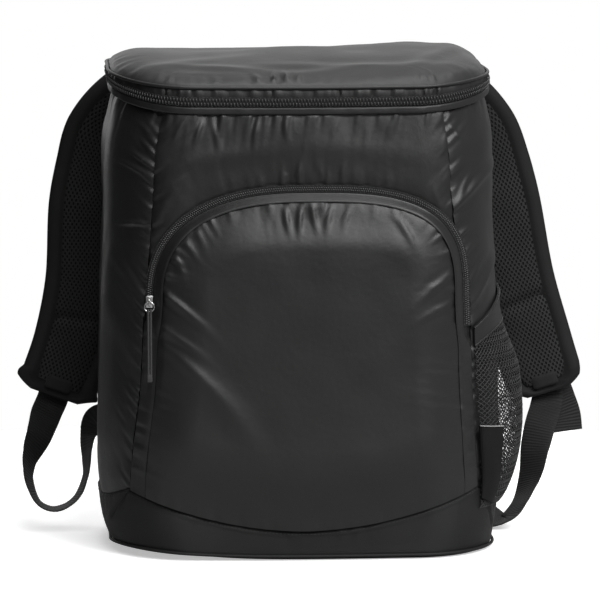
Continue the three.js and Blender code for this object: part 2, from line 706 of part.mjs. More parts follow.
// A slot in the X and Z plane with round ends, from a low to a high middle
function slot(x, low, high, radius) {
  const path = new THREE.Path();
  path.absarc(x, low, radius, 0, -2 * quarter, true);
  path.absarc(x, high, radius, 2 * quarter, 0, true);
  path.closePath();
  return path;
}
function sliderShape() {
  const shape = new THREE.Shape();
  const top = eyeX + eyeRadius + bridge;
  shape.moveTo(0, -sliderLength / 2);
  shape.lineTo(plateThickness, -sliderLength / 2);
  shape.lineTo(top, -sliderLength * 0.32);
  shape.lineTo(top, sliderLength * 0.2);
  shape.lineTo(plateThickness, sliderLength / 2);
  shape.lineTo(0, sliderLength / 2);
  shape.closePath();
  shape.holes.push(slot(eyeX, -ringSag(sliderWidth / 2), 0, eyeRadius));
  return shape;
}
add('zip_slider', extrudeAcross(sliderShape(), sliderWidth), nickel, hardware);
const ring = add('zip_ring', new THREE.TorusGeometry(ringRadius, ringWire, 6, 14), nickel, hardware);
ring.rotation.y = quarter;
ring.position.set(eyeX, 0, -ringRadius);

// Textile pull: a cord doubled over the ring's lower bend, as a hairpin that leans off the pocket's edge
function pullShape() {
  const shape = new THREE.Shape();
  const bend = eyeRadius;
  const outer = bend + pullCord;
  const high = ringSag(pullWidth / 2);
  shape.moveTo(-outer, -pullLength);
  shape.lineTo(outer, -pullLength);
  shape.absarc(0, high, outer, 0, 2 * quarter, false);
  shape.closePath();
  shape.holes.push(slot(0, -pullLength * 0.3, high, bend));
  return shape;
}
const pull = add('zip_pull', extrudeAcross(pullShape(), pullWidth), web, hardware);
pull.position.set(eyeX, 0, -2 * ringRadius);
pull.rotation.y = -pullLean;

// Mesh side pocket on the right: a net sheet that stands off the side, with a smooth band round its mouth
const meshEdgeGap = 0.03;
const meshFrom = frontSeam + meshEdgeGap;
const meshTo = 3.9;
const meshColumns = columnsBetween(meshFrom, meshTo);
const meshRows = [0, 0.07, 0.2, 0.36, 0.52, 0.7, 0.86, 1];
const meshAcross = column => clamp((column - meshFrom) / (meshTo - meshFrom), 0, 1);
const mouthRise = column => clamp(meshAcross(column) / mouthRun, 0, 1);
const mouthAt = column => mix(meshMouthFront, meshMouthSide, Math.sin(mouthRise(column) * quarter));
const bandAt = column => mix(meshBandFront, meshBandSide, smooth(mouthRise(column)));
const mouthFrom = 0.75;
function meshStand(column, up) {
  const side = Math.sin(Math.PI * meshAcross(column)) ** sideSwell;
  const height = Math.sin(Math.PI * clamp(up, 0, 1) ** footSwell) ** bulgePower;
  const nearMouth = smooth(clamp((up - mouthFrom) / (1 - mouthFrom), 0, 1));
  return skinGap + meshBulge * side * mix(height, mouthShare, nearMouth);
}
function meshPoint(column, height, extra) {
  const up = (height - meshFoot) / (mouthAt(column) - meshFoot);
  return skin(column, height, -meshStand(column, up) - extra);
}
function meshSheet(low, high, rows) {
  const grid = extra => rows.map(share => meshColumns.map(
    column => meshPoint(column, mix(low(column), high(column), share), extra)));
  return sheet(grid(meshThickness), grid(0));
}
const bandLow = column => mouthAt(column) - bandAt(column);
add('mesh_pocket', meshSheet(() => meshFoot, column => bandLow(column) - seamGap, meshRows), net);
add('mesh_pocket_band', meshSheet(bandLow, mouthAt, [0, 0.5, 1]), cloth);

// Woven label sewn into the right seam, lying back over the net; it is bare
function sideLabel() {
  const rows = [0, 0.25, 0.5, 0.75, 1];
  const shares = [0, 0.33, 0.66, 1];
  const zoneLength = skin(frontSeam, labelFoot).distanceTo(skin(frontSeam + 1, labelFoot));
  const grid = extra => rows.map(up => shares.map(share => {
    const height = labelFoot + labelHeight * up - labelLean * share * up;
    const column = meshFrom + labelWidth * share / zoneLength;
    return meshPoint(column, height, meshThickness + skinGap + extra);
  }));
  return sheet(grid(labelThickness), grid(0));
}
add('side_label', sideLabel(), tape);

// Straps
const backPlane = 0.5 * bagDepth;
function pathPoint(row, out) {
  return new THREE.Vector3(out * bagWidth / 2, backPlane + row.back * strapReach, row.up * bagHeight);
}
function frames(points, steps, acrossAt) {
  const curve = new THREE.CatmullRomCurve3(points, false, 'centripetal');
  return Array.from({ length: steps + 1 }, (_, index) => {
    const share = index / steps;
    const along = curve.getTangent(share);
    const { across, out } = acrossAt(share, along);
    return { centre: curve.getPoint(share), across, out, share };
  });
}
function blend(table, name, share) {
  const at = share * (table.length - 1);
  const row = Math.min(Math.floor(at), table.length - 2);
  return mix(table[row][name], table[row + 1][name], at - row);
}

// Pads lie with their mesh face to the front, so their width runs across the path in that face
const padSteps = 22;
function padFrames(side) {
  const column = side < 0 ? 'left' : 'right';
  const points = padPath.map(row => pathPoint(row, side * row[column]));
  return frames(points, padSteps, (share, along) => {
    const out = new THREE.Vector3(0, -1, 0).addScaledVector(along, along.y).normalize();
    return { across: new THREE.Vector3().crossVectors(along, out).normalize(), out };
  });
}
function padSection(frame, profile) {
  const half = padWidth / 2 * blend(padPath, 'wide', frame.share);
  const border = Math.min(padBorder, half * 0.55);
  return profile(half, border).map(([across, out]) => frame.centre.clone()
    .addScaledVector(frame.across, across).addScaledVector(frame.out, out));
}
const padHalf = padThickness / 2;
const shellProfile = (half, border) => {
  const floor = padSkin - padHalf;
  return [
    [-half + padSoft, -padHalf], [half - padSoft, -padHalf], [half, -padHalf + padSoft], [half, padHalf - padSoft],
    [half - padSoft, padHalf], [half - border, padHalf], [half - border, floor], [border - half, floor],
    [border - half, padHalf], [padSoft - half, padHalf], [-half, padHalf - padSoft], [-half, -padHalf + padSoft],
  ];
};
const meshProfile = (half, border) => {
  const reach = half - border - seamGap;
  const slope = reach * 0.3;
  const floor = padSkin - padHalf + seamGap;
  return [
    [reach, floor], [-reach, floor], [-reach, padHalf - padCrown], [slope - reach, padHalf + padCrown],
    [reach - slope, padHalf + padCrown], [reach, padHalf - padCrown],
  ];
};
// Small stitched patch on the lower end of each mesh face
function padSlice(line, low, high, profile) {
  const points = line.filter(frame => frame.share >= low && frame.share <= high);
  return sweptSolid(points.map(frame => padSection(frame, profile)));
}

const sides = [{ name: 'left', sign: -1, web: webPathLeft }, { name: 'right', sign: 1, web: webPathRight }];
for (const { name, sign } of sides) {
  const line = padFrames(sign);
  const sample = [padWidth / 2, padBorder];
  const shell = sweptSolid(line.map(frame => padSection(frame, shellProfile)), shellProfile(...sample));
  add(`strap_shell_${name}`, shell, cloth);
  const pad = sweptSolid(line.map(frame => padSection(frame, meshProfile)), meshProfile(...sample));
  add(`strap_mesh_${name}`, pad, net);
  const low = padHalf + padCrown + seamGap;
  const edge = patchWidth / 2;
  const patch = padSlice(line, patchFrom, patchTo, () => [
    [-edge, low], [edge, low], [edge, low + labelThickness], [-edge, low + labelThickness],
  ]);
  add(`strap_patch_${name}`, patch, cloth);
}

// Webbing: a flat band that turns as it goes
const webSteps = 2;
function faceOf({ turn, tip }) {
  const around = THREE.MathUtils.degToRad(turn);
  const lean = THREE.MathUtils.degToRad(tip);
  return new THREE.Vector3(
    Math.sin(around) * Math.cos(lean), -Math.cos(around) * Math.cos(lean), Math.sin(lean));
}
function blendFace(table, share) {
  const at = share * (table.length - 1);
  const row = Math.min(Math.floor(at), table.length - 2);
  return faceOf(table[row]).lerp(faceOf(table[row + 1]), at - row);
}
function webbing(table, sign) {
  const points = table.map(row => pathPoint(row, sign * row.out));
  const line = frames(points, (table.length - 1) * webSteps, (share, along) => {
    const across = new THREE.Vector3().crossVectors(along, blendFace(table, share)).normalize();
    return { across, out: new THREE.Vector3().crossVectors(across, along).normalize() };
  });
  const half = webWidth / 2;
  const thick = webThickness / 2;
  return sweptSolid(line.map(({ centre, across, out }) => [
    [-half, -thick], [half, -thick], [half, thick], [-half, thick],
  ].map(([a, b]) => centre.clone().addScaledVector(across, a).addScaledVector(out, b))));
}
for (const { name, sign, web: table } of sides) {
  add(`webbing_${name}`, webbing(table, sign), web);
}
add('webbing_tail_right', webbing(tailPath, 1), web);

// Adjuster: a flat frame with two slots and a bar, behind each pad's lower end
function adjusterShape() {
  const shape = new THREE.Shape();
  const halfWide = adjusterWidth / 2;
  const halfLong = adjusterLength / 2;
  shape.moveTo(-halfWide, -halfLong);
  shape.lineTo(halfWide, -halfLong);
  shape.lineTo(halfWide, halfLong);
  shape.lineTo(-halfWide, halfLong);
  shape.closePath();
  for (const way of [-1, 1]) {
    const near = way * adjusterBar / 2;
    const far = way * (halfLong - adjusterBar);
    const slotHalf = halfWide - adjusterBar;
    const opening = new THREE.Path();
    opening.moveTo(-slotHalf, near);
    opening.lineTo(slotHalf, near);
    opening.lineTo(slotHalf, far);
    opening.lineTo(-slotHalf, far);
    opening.closePath();
    shape.holes.push(opening);
  }
  return shape;
}
const adjusterShare = 0.82;
for (const { name, sign } of sides) {
  const line = padFrames(sign);
  const frame = line.reduce((best, one) => (
    Math.abs(one.share - adjusterShare) < Math.abs(best.share - adjusterShare) ? one : best));
  const geometry = new THREE.ExtrudeGeometry(adjusterShape(), { depth: adjusterThickness, bevelEnabled: false });
  const along = new THREE.Vector3().crossVectors(frame.out, frame.across);
  const basis = new THREE.Matrix4().makeBasis(frame.across, along, frame.out);
  basis.setPosition(frame.centre.clone().addScaledVector(frame.out, -padHalf - seamGap - adjusterThickness));
  geometry.applyMatrix4(basis);
  add(`adjuster_${name}`, geometry, plastic);
}

export default bag;
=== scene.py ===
# %% [markdown]
# # Dressing a soft cooler backpack
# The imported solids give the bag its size: a padded box with a warped zipped lid, a front pocket under
# an arched zip, a net pocket at the side and two padded straps. They are plain, so this lesson makes
# each visible piece again as fine cloth, net, tape, webbing or metal, in the same place.

import itertools
import math

import bmesh
import bpy
import numpy as np
from mathutils import Matrix, Vector
from mathutils.geometry import delaunay_2d_cdt


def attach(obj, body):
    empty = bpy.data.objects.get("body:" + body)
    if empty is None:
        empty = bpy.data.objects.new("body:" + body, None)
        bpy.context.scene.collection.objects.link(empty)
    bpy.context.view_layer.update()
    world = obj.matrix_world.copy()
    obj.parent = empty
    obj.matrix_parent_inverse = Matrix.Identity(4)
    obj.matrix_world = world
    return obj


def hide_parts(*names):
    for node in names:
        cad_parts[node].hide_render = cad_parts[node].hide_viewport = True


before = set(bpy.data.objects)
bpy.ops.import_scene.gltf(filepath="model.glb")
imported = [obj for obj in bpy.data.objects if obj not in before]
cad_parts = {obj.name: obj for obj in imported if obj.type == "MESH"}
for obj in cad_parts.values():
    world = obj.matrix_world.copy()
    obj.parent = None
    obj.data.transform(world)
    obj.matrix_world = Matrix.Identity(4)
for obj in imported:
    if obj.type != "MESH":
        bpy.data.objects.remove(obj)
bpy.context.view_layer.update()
MM = 0.001
print("packed nodes:", len(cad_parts))

# %% [markdown]
# ## Camera first
# The bag was seen from just left of its middle and a little above, through a long lens from about four
# metres. The view is set first, because every detail is then worked out for what it shows.

# %% Camera
VIEW_TURN = math.radians(-3.5)
VIEW_RISE = math.radians(7)
VIEW_DISTANCE = 4.0
VIEW_TARGET = Vector((0, 0, 0.182))
IMAGE_SIDE = 600
SHIFT_RIGHT = 2.5 / IMAGE_SIDE
SHIFT_UP = 2.18 / IMAGE_SIDE
camera = bpy.data.objects.new("camera", bpy.data.cameras.new("camera"))
bpy.context.scene.collection.objects.link(camera)
back = Vector((math.sin(VIEW_TURN) * math.cos(VIEW_RISE),
               -math.cos(VIEW_TURN) * math.cos(VIEW_RISE), math.sin(VIEW_RISE)))
camera.location = VIEW_TARGET + back * VIEW_DISTANCE
camera.rotation_euler = (-back).to_track_quat("-Z", "Y").to_euler()
camera.data.lens = 319.1
camera.data.shift_x = SHIFT_RIGHT
camera.data.shift_y = SHIFT_UP
camera.data.clip_end = 40
bpy.context.scene.camera = camera
print("camera at", [round(c, 3) for c in camera.location])

# %% [markdown]
# ## The bag's form
# The body isn't a box: its plan has soft elliptical front corners, and its width and depth change with
# height. A short table holds those sections as shares of the bag's size, and a smooth reading between
# its rows gives any point of the skin. A sculpted mesh could give the same form, but a formula also
# tells every later piece where the skin is.

# %% Sizes of the body
BAG_WIDTH = 302 * MM
BAG_DEPTH = 166 * MM
BAG_HEIGHT = 372 * MM
WALL = 5 * MM
CORNER_WIDE = 60 * MM
CORNER_DEEP = 70 * MM
BACK_CORNER = 30 * MM
LID_BACK_CORNER = 46 * MM
LID_CORNER_FROM = 275 * MM
LID_CORNER_RUN = 55 * MM
PINCH = 5 * MM
PINCH_FROM = -50 * MM
PINCH_RUN = 90 * MM
PINCH_HEIGHT = 345 * MM
QUARTER = math.pi / 2
SECTION_COLUMNS = ("up", "wide", "front", "back", "crown", "seam_left", "seam_right")
BODY_SECTIONS = [
    (0.000, 0.957, 0.500, 0.470, 0.022, 0.460, 0.480),
    (0.054, 0.977, 0.502, 0.488, 0.024, 0.450, 0.480),
    (0.140, 0.992, 0.502, 0.497, 0.026, 0.450, 0.480),
    (0.210, 0.996, 0.502, 0.500, 0.026, 0.420, 0.450),
    (0.341, 0.990, 0.500, 0.500, 0.026, 0.356, 0.420),
    (0.460, 0.984, 0.500, 0.500, 0.026, 0.336, 0.412),
    (0.556, 0.977, 0.500, 0.500, 0.024, 0.316, 0.400),
    (0.621, 0.971, 0.500, 0.500, 0.022, 0.302, 0.352),
    (0.672, 0.967, 0.497, 0.500, 0.020, 0.292, 0.275),
    (0.820, 0.957, 0.494, 0.494, 0.020, 0.269, 0.242),
    (0.880, 0.938, 0.489, 0.484, 0.020, 0.262, 0.238),
    (0.920, 0.933, 0.488, 0.482, 0.020, 0.257, 0.236),
    (0.970, 0.932, 0.488, 0.482, 0.020, 0.255, 0.235),
    (1.000, 0.918, 0.488, 0.482, 0.020, 0.255, 0.235),
]


def mix(low, high, share):
    return low + (high - low) * share


def smooth(share):
    share = np.clip(share, 0, 1)
    return share * share * (3 - 2 * share)


def read(table, at):
    """The table's columns at a key, smooth between its rows. The first column is the key."""
    rows = np.array(table, float)
    key = rows[:, 0]
    at = np.clip(at, key[0], key[-1])
    low = np.clip(np.searchsorted(key, at) - 1, 0, len(key) - 2)
    before = np.maximum(np.arange(len(key)) - 1, 0)
    after = np.minimum(np.arange(len(key)) + 1, len(key) - 1)
    slopes = (rows[after] - rows[before]) / (key[after] - key[before])[:, None]
    span = (key[low + 1] - key[low])[..., None]
    t = (at - key[low])[..., None] / span
    value = (rows[low] * (1 + 2 * t) * (1 - t) ** 2 + slopes[low] * span * t * (1 - t) ** 2
             + rows[low + 1] * t * t * (3 - 2 * t) + slopes[low + 1] * span * t * t * (t - 1))
    return np.moveaxis(value[..., 1:], -1, 0)


print("sections:", len(BODY_SECTIONS), "with columns", ", ".join(SECTION_COLUMNS))

# %% Skin of the body
FRONT_SEAM = 2
BACK_SEAM = 5
BACK_CENTRE = 7


def outline(place, height, inset=0.0):
    """Plan outline: places 0 to 5 run from front centre to back centre, below zero is the left half."""
    place, height, inset = np.broadcast_arrays(place, height, inset)
    wide, front, rear, crown = read(BODY_SECTIONS, height / BAG_HEIGHT)[:4]
    way = np.abs(place)
    half = wide * BAG_WIDTH / 2 - inset
    near = -front * BAG_DEPTH + inset
    far = rear * BAG_DEPTH - inset
    across = CORNER_WIDE - inset
    deep = CORNER_DEEP - inset
    rounded = mix(BACK_CORNER, LID_BACK_CORNER, smooth((height - LID_CORNER_FROM) / LID_CORNER_RUN)) - inset
    turn = (np.clip(way, 1, 2) - 1) * QUARTER
    end = (np.clip(way, 3, 4) - 3) * QUARTER
    zones = [way <= 1, way <= 2, way <= 3, way <= 4]
    x = np.select(zones, [way * (half - across), half - across + across * np.sin(turn), half,
                          half - rounded + rounded * np.cos(end)], (half - rounded) * (5 - way))
    y = np.select(zones, [near, near + deep - deep * np.cos(turn),
                          mix(near + deep, far - rounded, way - 2),
                          far - rounded + rounded * np.sin(end)], far)
    y = y - np.where(way < 2, crown * BAG_DEPTH * np.cos(QUARTER * x / half) ** 2, 0)
    drawn_in = PINCH * smooth((y - PINCH_FROM) / PINCH_RUN) * smooth((height - PINCH_HEIGHT) / (15 * MM))
    x = x - np.where(place > 0, drawn_in * (x / half) ** 4, 0)
    return np.stack([np.sign(place) * x, y, height], axis=-1)


def place_of(column, height):
    """Columns 0 to 7 run round each half with the seams at 2 and 5, and wrap past 7."""
    column = np.where(np.abs(column) > BACK_CENTRE, column - np.sign(column) * 2 * BACK_CENTRE, column)
    seam_left, seam_right = read(BODY_SECTIONS, height / BAG_HEIGHT)[4:]
    seam = np.where(column < 0, seam_left, seam_right)
    way = np.abs(column)
    at = np.select([way <= 1, way <= 2, way <= 3, way <= 4, way <= 6],
                   [way, 1 + seam * (way - 1), 1 + seam + (1 - seam) * (way - 2), way - 1,
                    3 + (way - 4) / 2], way - 2)
    return np.sign(column) * at


def skin(column, height, stand=0.0):
    """A point that stands off the bag's skin by stand."""
    column, height, stand = np.broadcast_arrays(column, height, stand)
    return outline(place_of(column, height), height, -stand)


def front_point(x, height, stand=0.0):
    """A point of the bag's front, found from where it is seen from the front."""
    x, height, stand = np.broadcast_arrays(x, height, stand)
    wide, front, _, crown = read(BODY_SECTIONS, height / BAG_HEIGHT)[:4]
    half = wide * BAG_WIDTH / 2 + stand
    across = CORNER_WIDE + stand
    deep = CORNER_DEEP + stand
    sine = np.clip((np.abs(x) - half + across) / across, 0, 1)
    y = -front * BAG_DEPTH - stand + deep - deep * np.sqrt(1 - sine ** 2)
    return np.stack([x, y - crown * BAG_DEPTH * np.cos(QUARTER * x / half) ** 2, height], axis=-1)


def run_length(line):
    """Length from the first point of a line to each of its points."""
    return np.concatenate([[0], np.cumsum(np.linalg.norm(np.diff(line, axis=0), axis=1))])


def columns_between(low, high, step, height=0.5 * BAG_HEIGHT):
    """Columns a near equal step apart along the skin."""
    fine = np.linspace(low, high, 2000)
    points = skin(fine, height)
    length = run_length(points)
    count = max(int(round(length[-1] / step)), 2)
    even = np.linspace(0, length[-1], count + 1)
    return np.interp(even, length, fine), even


round_columns, round_length = columns_between(-BACK_CENTRE, BACK_CENTRE, 2 * MM)
print("girth of the bag: %.0f mm" % (round_length[-1] / MM))

# %% Heights of the rim, the lid's seam and the base seam
ZIP_HEIGHT = 340 * MM
ZIP_RISE = 17 * MM
ZIP_RUN = 108 * MM
LID_TILT = 1 * MM
RIGHT_DROP = 5.5 * MM
BAND_FRONT = 10.5 * MM
BAND_SIDE = 5.4 * MM
RIM_SHARE = 0.93
BASE_SEAM_FRONT = 22 * MM
BASE_SEAM_CORNER = 52 * MM
BASE_SEAM_SIDE = 40 * MM
SCOOP_POWER = 1.9
RIM_FRONT = outline(0.0, RIM_SHARE * BAG_HEIGHT)[1]


def rim_run(y):
    return np.sin(np.clip((y - RIM_FRONT) / ZIP_RUN, 0, 1) * QUARTER)


def zip_level(x, y):
    across = 2 * x / BAG_WIDTH
    tilt = LID_TILT * across - RIGHT_DROP * np.maximum(across, 0) ** 3
    return ZIP_HEIGHT + (ZIP_RISE + tilt) * rim_run(y)


def lid_level(x, y):
    return zip_level(x, y) + mix(BAND_FRONT, BAND_SIDE, rim_run(y))


def rim(column, above, stand=0.0):
    """A point at a height above the main zip's middle line."""
    foot = skin(column, RIM_SHARE * BAG_HEIGHT)
    return skin(column, zip_level(foot[..., 0], foot[..., 1]) + above, stand)


def lid_edge(column, above, stand=0.0):
    """A point at a height above the lid's seam."""
    foot = skin(column, RIM_SHARE * BAG_HEIGHT)
    return skin(column, lid_level(foot[..., 0], foot[..., 1]) + above, stand)


SCOOP_REACH = skin(FRONT_SEAM, BASE_SEAM_CORNER)[0]


# Each row: the column, then the seam's height in mm on the left and on the right.
BASE_SEAM_SIDES = [
    (2.00, 52, 52), (2.12, 50.5, 46), (2.28, 48, 40), (2.50, 45, 36), (2.75, 43, 34),
    (3.00, 41.5, 33.5), (3.60, 41, 36), (4.50, 40, 39), (5.00, 40, 40), (7.00, 40, 40),
]


def base_seam(column):
    """Height of the base seam: a scoop across the front, a fall at each corner, then level at the back."""
    way = np.abs(column)
    left = np.where(way > BACK_CENTRE, column > 0, column < 0)
    way = np.where(way > BACK_CENTRE, 2 * BACK_CENTRE - way, way)
    share = np.clip(skin(way, BASE_SEAM_CORNER)[..., 0] / SCOOP_REACH, 0, 1)
    front = mix(BASE_SEAM_FRONT, BASE_SEAM_CORNER, share ** SCOOP_POWER)
    side = read(BASE_SEAM_SIDES, way)
    return np.where(way <= FRONT_SEAM, front, np.where(left, side[0], side[1]) * MM)


print("zip line: %.0f mm at the front, %.0f mm at the back"
      % (zip_level(0, RIM_FRONT) / MM, zip_level(0, BAG_DEPTH / 2) / MM))

# %% [markdown]
# ## Folds, puckers and soft lumps
# Thin coated cloth over foam shows three things: slow lumps of the foam, puckers that run off every
# sewn line where the thread draws the cloth in, and a few long folds where it is pulled. Each is a
# field of heights over the cloth, in metres, that is added to how far the skin stands out. Seeded
# noise gives the irregular part, so that each run makes the same bag.

# %% Fields of height over the cloth
LATTICE = 48


def lumps(points, size, seed):
    """Smooth noise between -1 and 1 with lumps about size across."""
    grid = np.random.default_rng(seed).uniform(-1, 1, (LATTICE,) * 3)
    scaled = np.asarray(points, float) / size
    cell = np.floor(scaled).astype(int)
    part = scaled - cell
    part = part ** 3 * (part * (part * 6 - 15) + 10)
    total = np.zeros(scaled.shape[:-1])
    for corner in itertools.product((0, 1), repeat=3):
        index = (cell + corner) % LATTICE
        weight = np.prod(np.where(corner, part, 1 - part), axis=-1)
        total += weight * grid[index[..., 0], index[..., 1], index[..., 2]]
    return total


def flat_lumps(along, across, size, seed):
    along, across = np.broadcast_arrays(along, across)
    return lumps(np.stack([along, across, np.full(along.shape, 0.37 * size)], axis=-1), size, seed)


def gathers(along, away, pitch, reach, seed, slant=0.0):
    """Puckers side by side along a seam, each with a reach of its own, between about -1 and 1."""
    line = along + slant * away
    ripple = flat_lumps(line * 2.0, away * 0.35, pitch, seed)
    ripple = np.sign(ripple) * np.abs(ripple) ** 0.8
    own = reach * (1 + 0.7 * flat_lumps(line, away * 0, 2.3 * pitch, seed + 1))
    fade = np.exp(-(np.maximum(away, 0) / np.maximum(own, 1e-5)) ** 1.4)
    return 1.5 * ripple * fade


def fold(along, across, row):
    """One long fold: a ridge with a valley on each side. Its row is in FOLD_COLUMNS."""
    x, z, turn, length, width, height = row
    turn = math.radians(turn)
    a = (along - x * MM) * math.cos(turn) + (across - z * MM) * math.sin(turn)
    b = -(along - x * MM) * math.sin(turn) + (across - z * MM) * math.cos(turn)
    b = b + 0.06 * a * a / (length * MM)
    ridge = (b / (width * MM)) ** 2
    return height * MM * (1 - 0.9 * ridge) * np.exp(-ridge) * np.exp(-(a / (length * MM)) ** 2)


FOLD_COLUMNS = ("x", "z", "turn", "length", "width", "height")


def folds(along, across, rows):
    total = np.zeros(np.broadcast(along, across).shape)
    for row in rows:
        total += fold(along, across, row)
    return total


def dip(distance, deep, soft):
    """The pull of a seam on the cloth beside it."""
    return -deep * np.exp(-np.maximum(distance, 0) / soft)


print("a fold is given by", ", ".join(FOLD_COLUMNS))

# %% [markdown]
# ## Closed cloth meshes
# Every piece of cloth is a closed wall: an outer grid of points, an inner one, and narrow faces round
# the border. A Solidify modifier would do it too, but two grids let the wall follow the skin exactly.
# The UV map holds real lengths in metres, so a weave has one scale on every piece.

# %% Mesh helpers
MERGE = 1e-6
CREASE = math.radians(50)


def link(name, mesh, material=None):
    thing = bpy.data.objects.new(name, mesh)
    bpy.context.scene.collection.objects.link(thing)
    if material is not None:
        mesh.materials.append(material)
    return thing


def closed(name, vertices, faces, material, uv=None, merge=True):
    """An object with smooth faces that point outward."""
    mesh = bpy.data.meshes.new(name)
    mesh.from_pydata(vertices, [], faces)
    if uv is not None:
        index = np.zeros(len(mesh.loops), int)
        mesh.loops.foreach_get("vertex_index", index)
        layer = mesh.uv_layers.new(name="cloth")
        layer.data.foreach_set("uv", np.asarray(uv, float)[index].ravel())
    work = bmesh.new()
    work.from_mesh(mesh)
    if merge:
        bmesh.ops.remove_doubles(work, verts=work.verts, dist=MERGE)
    if work.calc_volume(signed=True) < 0:
        bmesh.ops.reverse_faces(work, faces=work.faces)
    work.to_mesh(mesh)
    work.free()
    mesh.shade_smooth()
    mesh.set_sharp_from_angle(angle=CREASE)
    return link(name, mesh, material)


def grid_faces(rows, columns, start=0, flip=False):
    row, column = np.meshgrid(np.arange(rows - 1), np.arange(columns - 1), indexing="ij")
    a = (start + row * columns + column).ravel()
    quad = np.stack([a, a + 1, a + columns + 1, a + columns], axis=1)
    return quad[:, ::-1] if flip else quad


def kept(count, step):
    """Every step-th index and the last one."""
    return np.unique(np.concatenate([np.arange(0, count, step), [count - 1]]))


def wall(name, outer, inner, material, uv=None, wrapped=False, lids=(True, True), coarse=1):
    """A closed wall between two grids; the hidden inner one may be coarser. A wrapped one meets itself."""
    rows, columns = outer.shape[:2]
    size = rows * columns
    row_at = kept(rows, coarse)
    column_at = kept(columns, coarse)
    inner = inner[row_at][:, column_at]
    faces = grid_faces(rows, columns).tolist()
    faces += grid_faces(len(row_at), len(column_at), size, True).tolist()
    inside = size + np.arange(len(row_at) * len(column_at)).reshape(len(row_at), len(column_at))

    def border(line, marks, hidden, turned):
        for i in range(len(marks) - 1):
            face = [*line[marks[i]:marks[i + 1] + 1], hidden[i + 1], hidden[i]]
            faces.append([int(v) for v in (face if turned else face[::-1])])

    first = np.arange(columns)
    side = np.arange(rows) * columns
    if lids[0]:
        border(first, column_at, inside[0], False)
    if lids[1]:
        border(first + (rows - 1) * columns, column_at, inside[-1], True)
    if not wrapped:
        border(side, row_at, inside[:, 0], True)
        border(side + columns - 1, row_at, inside[:, -1], False)
    vertices = np.concatenate([outer.reshape(-1, 3), inner.reshape(-1, 3)])
    if uv is not None:
        uv = np.concatenate([uv.reshape(-1, 2), uv[row_at][:, column_at].reshape(-1, 2)])
    return closed(name, vertices, faces, material, uv)


def tube(name, rings, material, uv=None, caps=True):
    """A closed sweep of rings of points (steps, around, 3); the rings meet themselves."""
    steps, around = rings.shape[:2]
    shut = np.concatenate([rings, rings[:, :1]], axis=1)
    faces = grid_faces(steps, around + 1).tolist()
    if caps:
        faces.append(list(range(around)))
        faces.append([(steps - 1) * (around + 1) + i for i in range(around)][::-1])
    return closed(name, shut.reshape(-1, 3), faces, material, None if uv is None else uv.reshape(-1, 2))


def flat_map(along, across):
    """The cloth map of a grid, from its lengths along and across."""
    return np.stack(np.broadcast_arrays(along, across), axis=-1)


def finish_piece(piece, nodes):
    """Tells the frame what a finished piece rides on and replaces."""
    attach(piece, "root")
    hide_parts(*nodes)
    print(piece.name, len(piece.data.polygons), "faces")
    return piece


# %% [markdown]
# ## Finishes
# All of the bag is black, so its materials differ by weave, gloss and depth of tone rather than by
# colour. A small class lets shader maths be written as expressions, and a second one adds any other
# node from its type, its settings and its sockets.

# %% Shader helpers
class Wire:
    """An output of a node, which can be used in sums."""

    def __init__(self, finish, socket):
        self.finish = finish
        self.socket = socket

    def __add__(self, other):
        return self.finish.maths("ADD", self, other)

    def __radd__(self, other):
        return self.finish.maths("ADD", other, self)

    def __sub__(self, other):
        return self.finish.maths("SUBTRACT", self, other)

    def __rsub__(self, other):
        return self.finish.maths("SUBTRACT", other, self)

    def __mul__(self, other):
        return self.finish.maths("MULTIPLY", self, other)

    def __rmul__(self, other):
        return self.finish.maths("MULTIPLY", other, self)


class Finish:
    """A material that is being made, with one shader."""

    def __init__(self, name, constants=None):
        self.material = bpy.data.materials.new(name)
        self.material.use_nodes = True
        self.tree = self.material.node_tree
        self.shader = self.tree.nodes["Principled BSDF"]
        for socket, value in (constants or {}).items():
            self.shader.inputs[socket].default_value = value

    def node(self, kind, settings=None, sockets=None, output=0):
        """Adds a node: its settings first, then the values or links of its sockets."""
        made = self.tree.nodes.new(kind)
        for name, value in (settings or {}).items():
            if name == "stops":
                for element, (at, tone) in zip(made.color_ramp.elements, value):
                    element.position = at
                    element.color = (tone, tone, tone, 1)
            else:
                setattr(made, name, value)
        for name, value in (sockets or {}).items():
            self.feed(made.inputs[name], value)
        return Wire(self, made.outputs[output])

    def feed(self, socket, value):
        if isinstance(value, Wire):
            self.tree.links.new(value.socket, socket)
        else:
            socket.default_value = value

    def maths(self, operation, *values):
        return self.node("ShaderNodeMath", {"operation": operation}, dict(enumerate(values)))

    def cloth_map(self):
        """The piece's own lengths along and across its cloth, in metres."""
        return self.node("ShaderNodeUVMap", {"uv_map": "cloth"})

    def place(self):
        return self.node("ShaderNodeTexCoord", output="Object")

    def parts(self, vector):
        split = self.node("ShaderNodeSeparateXYZ", sockets={0: vector}).socket.node
        return [Wire(self, out) for out in split.outputs]

    def noise(self, vector, size, detail=2.0):
        sockets = {"Vector": vector, "Scale": 1 / size, "Detail": detail}
        return self.node("ShaderNodeTexNoise", {}, sockets)

    def tone(self, share, dark, light):
        """A grey between two tones."""
        shade = {0: share, 6: (*[dark] * 3, 1), 7: (*[light] * 3, 1)}
        self.feed(self.shader.inputs["Base Color"],
                  self.node("ShaderNodeMix", {"data_type": "RGBA"}, shade, output=2))

    def rough(self, value):
        self.feed(self.shader.inputs["Roughness"], value)

    def bump(self, height, distance, strength=1.0):
        sockets = {"Height": height, "Distance": distance, "Strength": strength}
        self.feed(self.shader.inputs["Normal"], self.node("ShaderNodeBump", {}, sockets))


def weave(finish, along, across, thread):
    """Plain weave: threads that pass over and under each other."""
    turn = 2 * math.pi / thread
    warp = finish.maths("SINE", along * turn)
    weft = finish.maths("SINE", across * turn)
    return warp * weft * 0.5 + 0.5


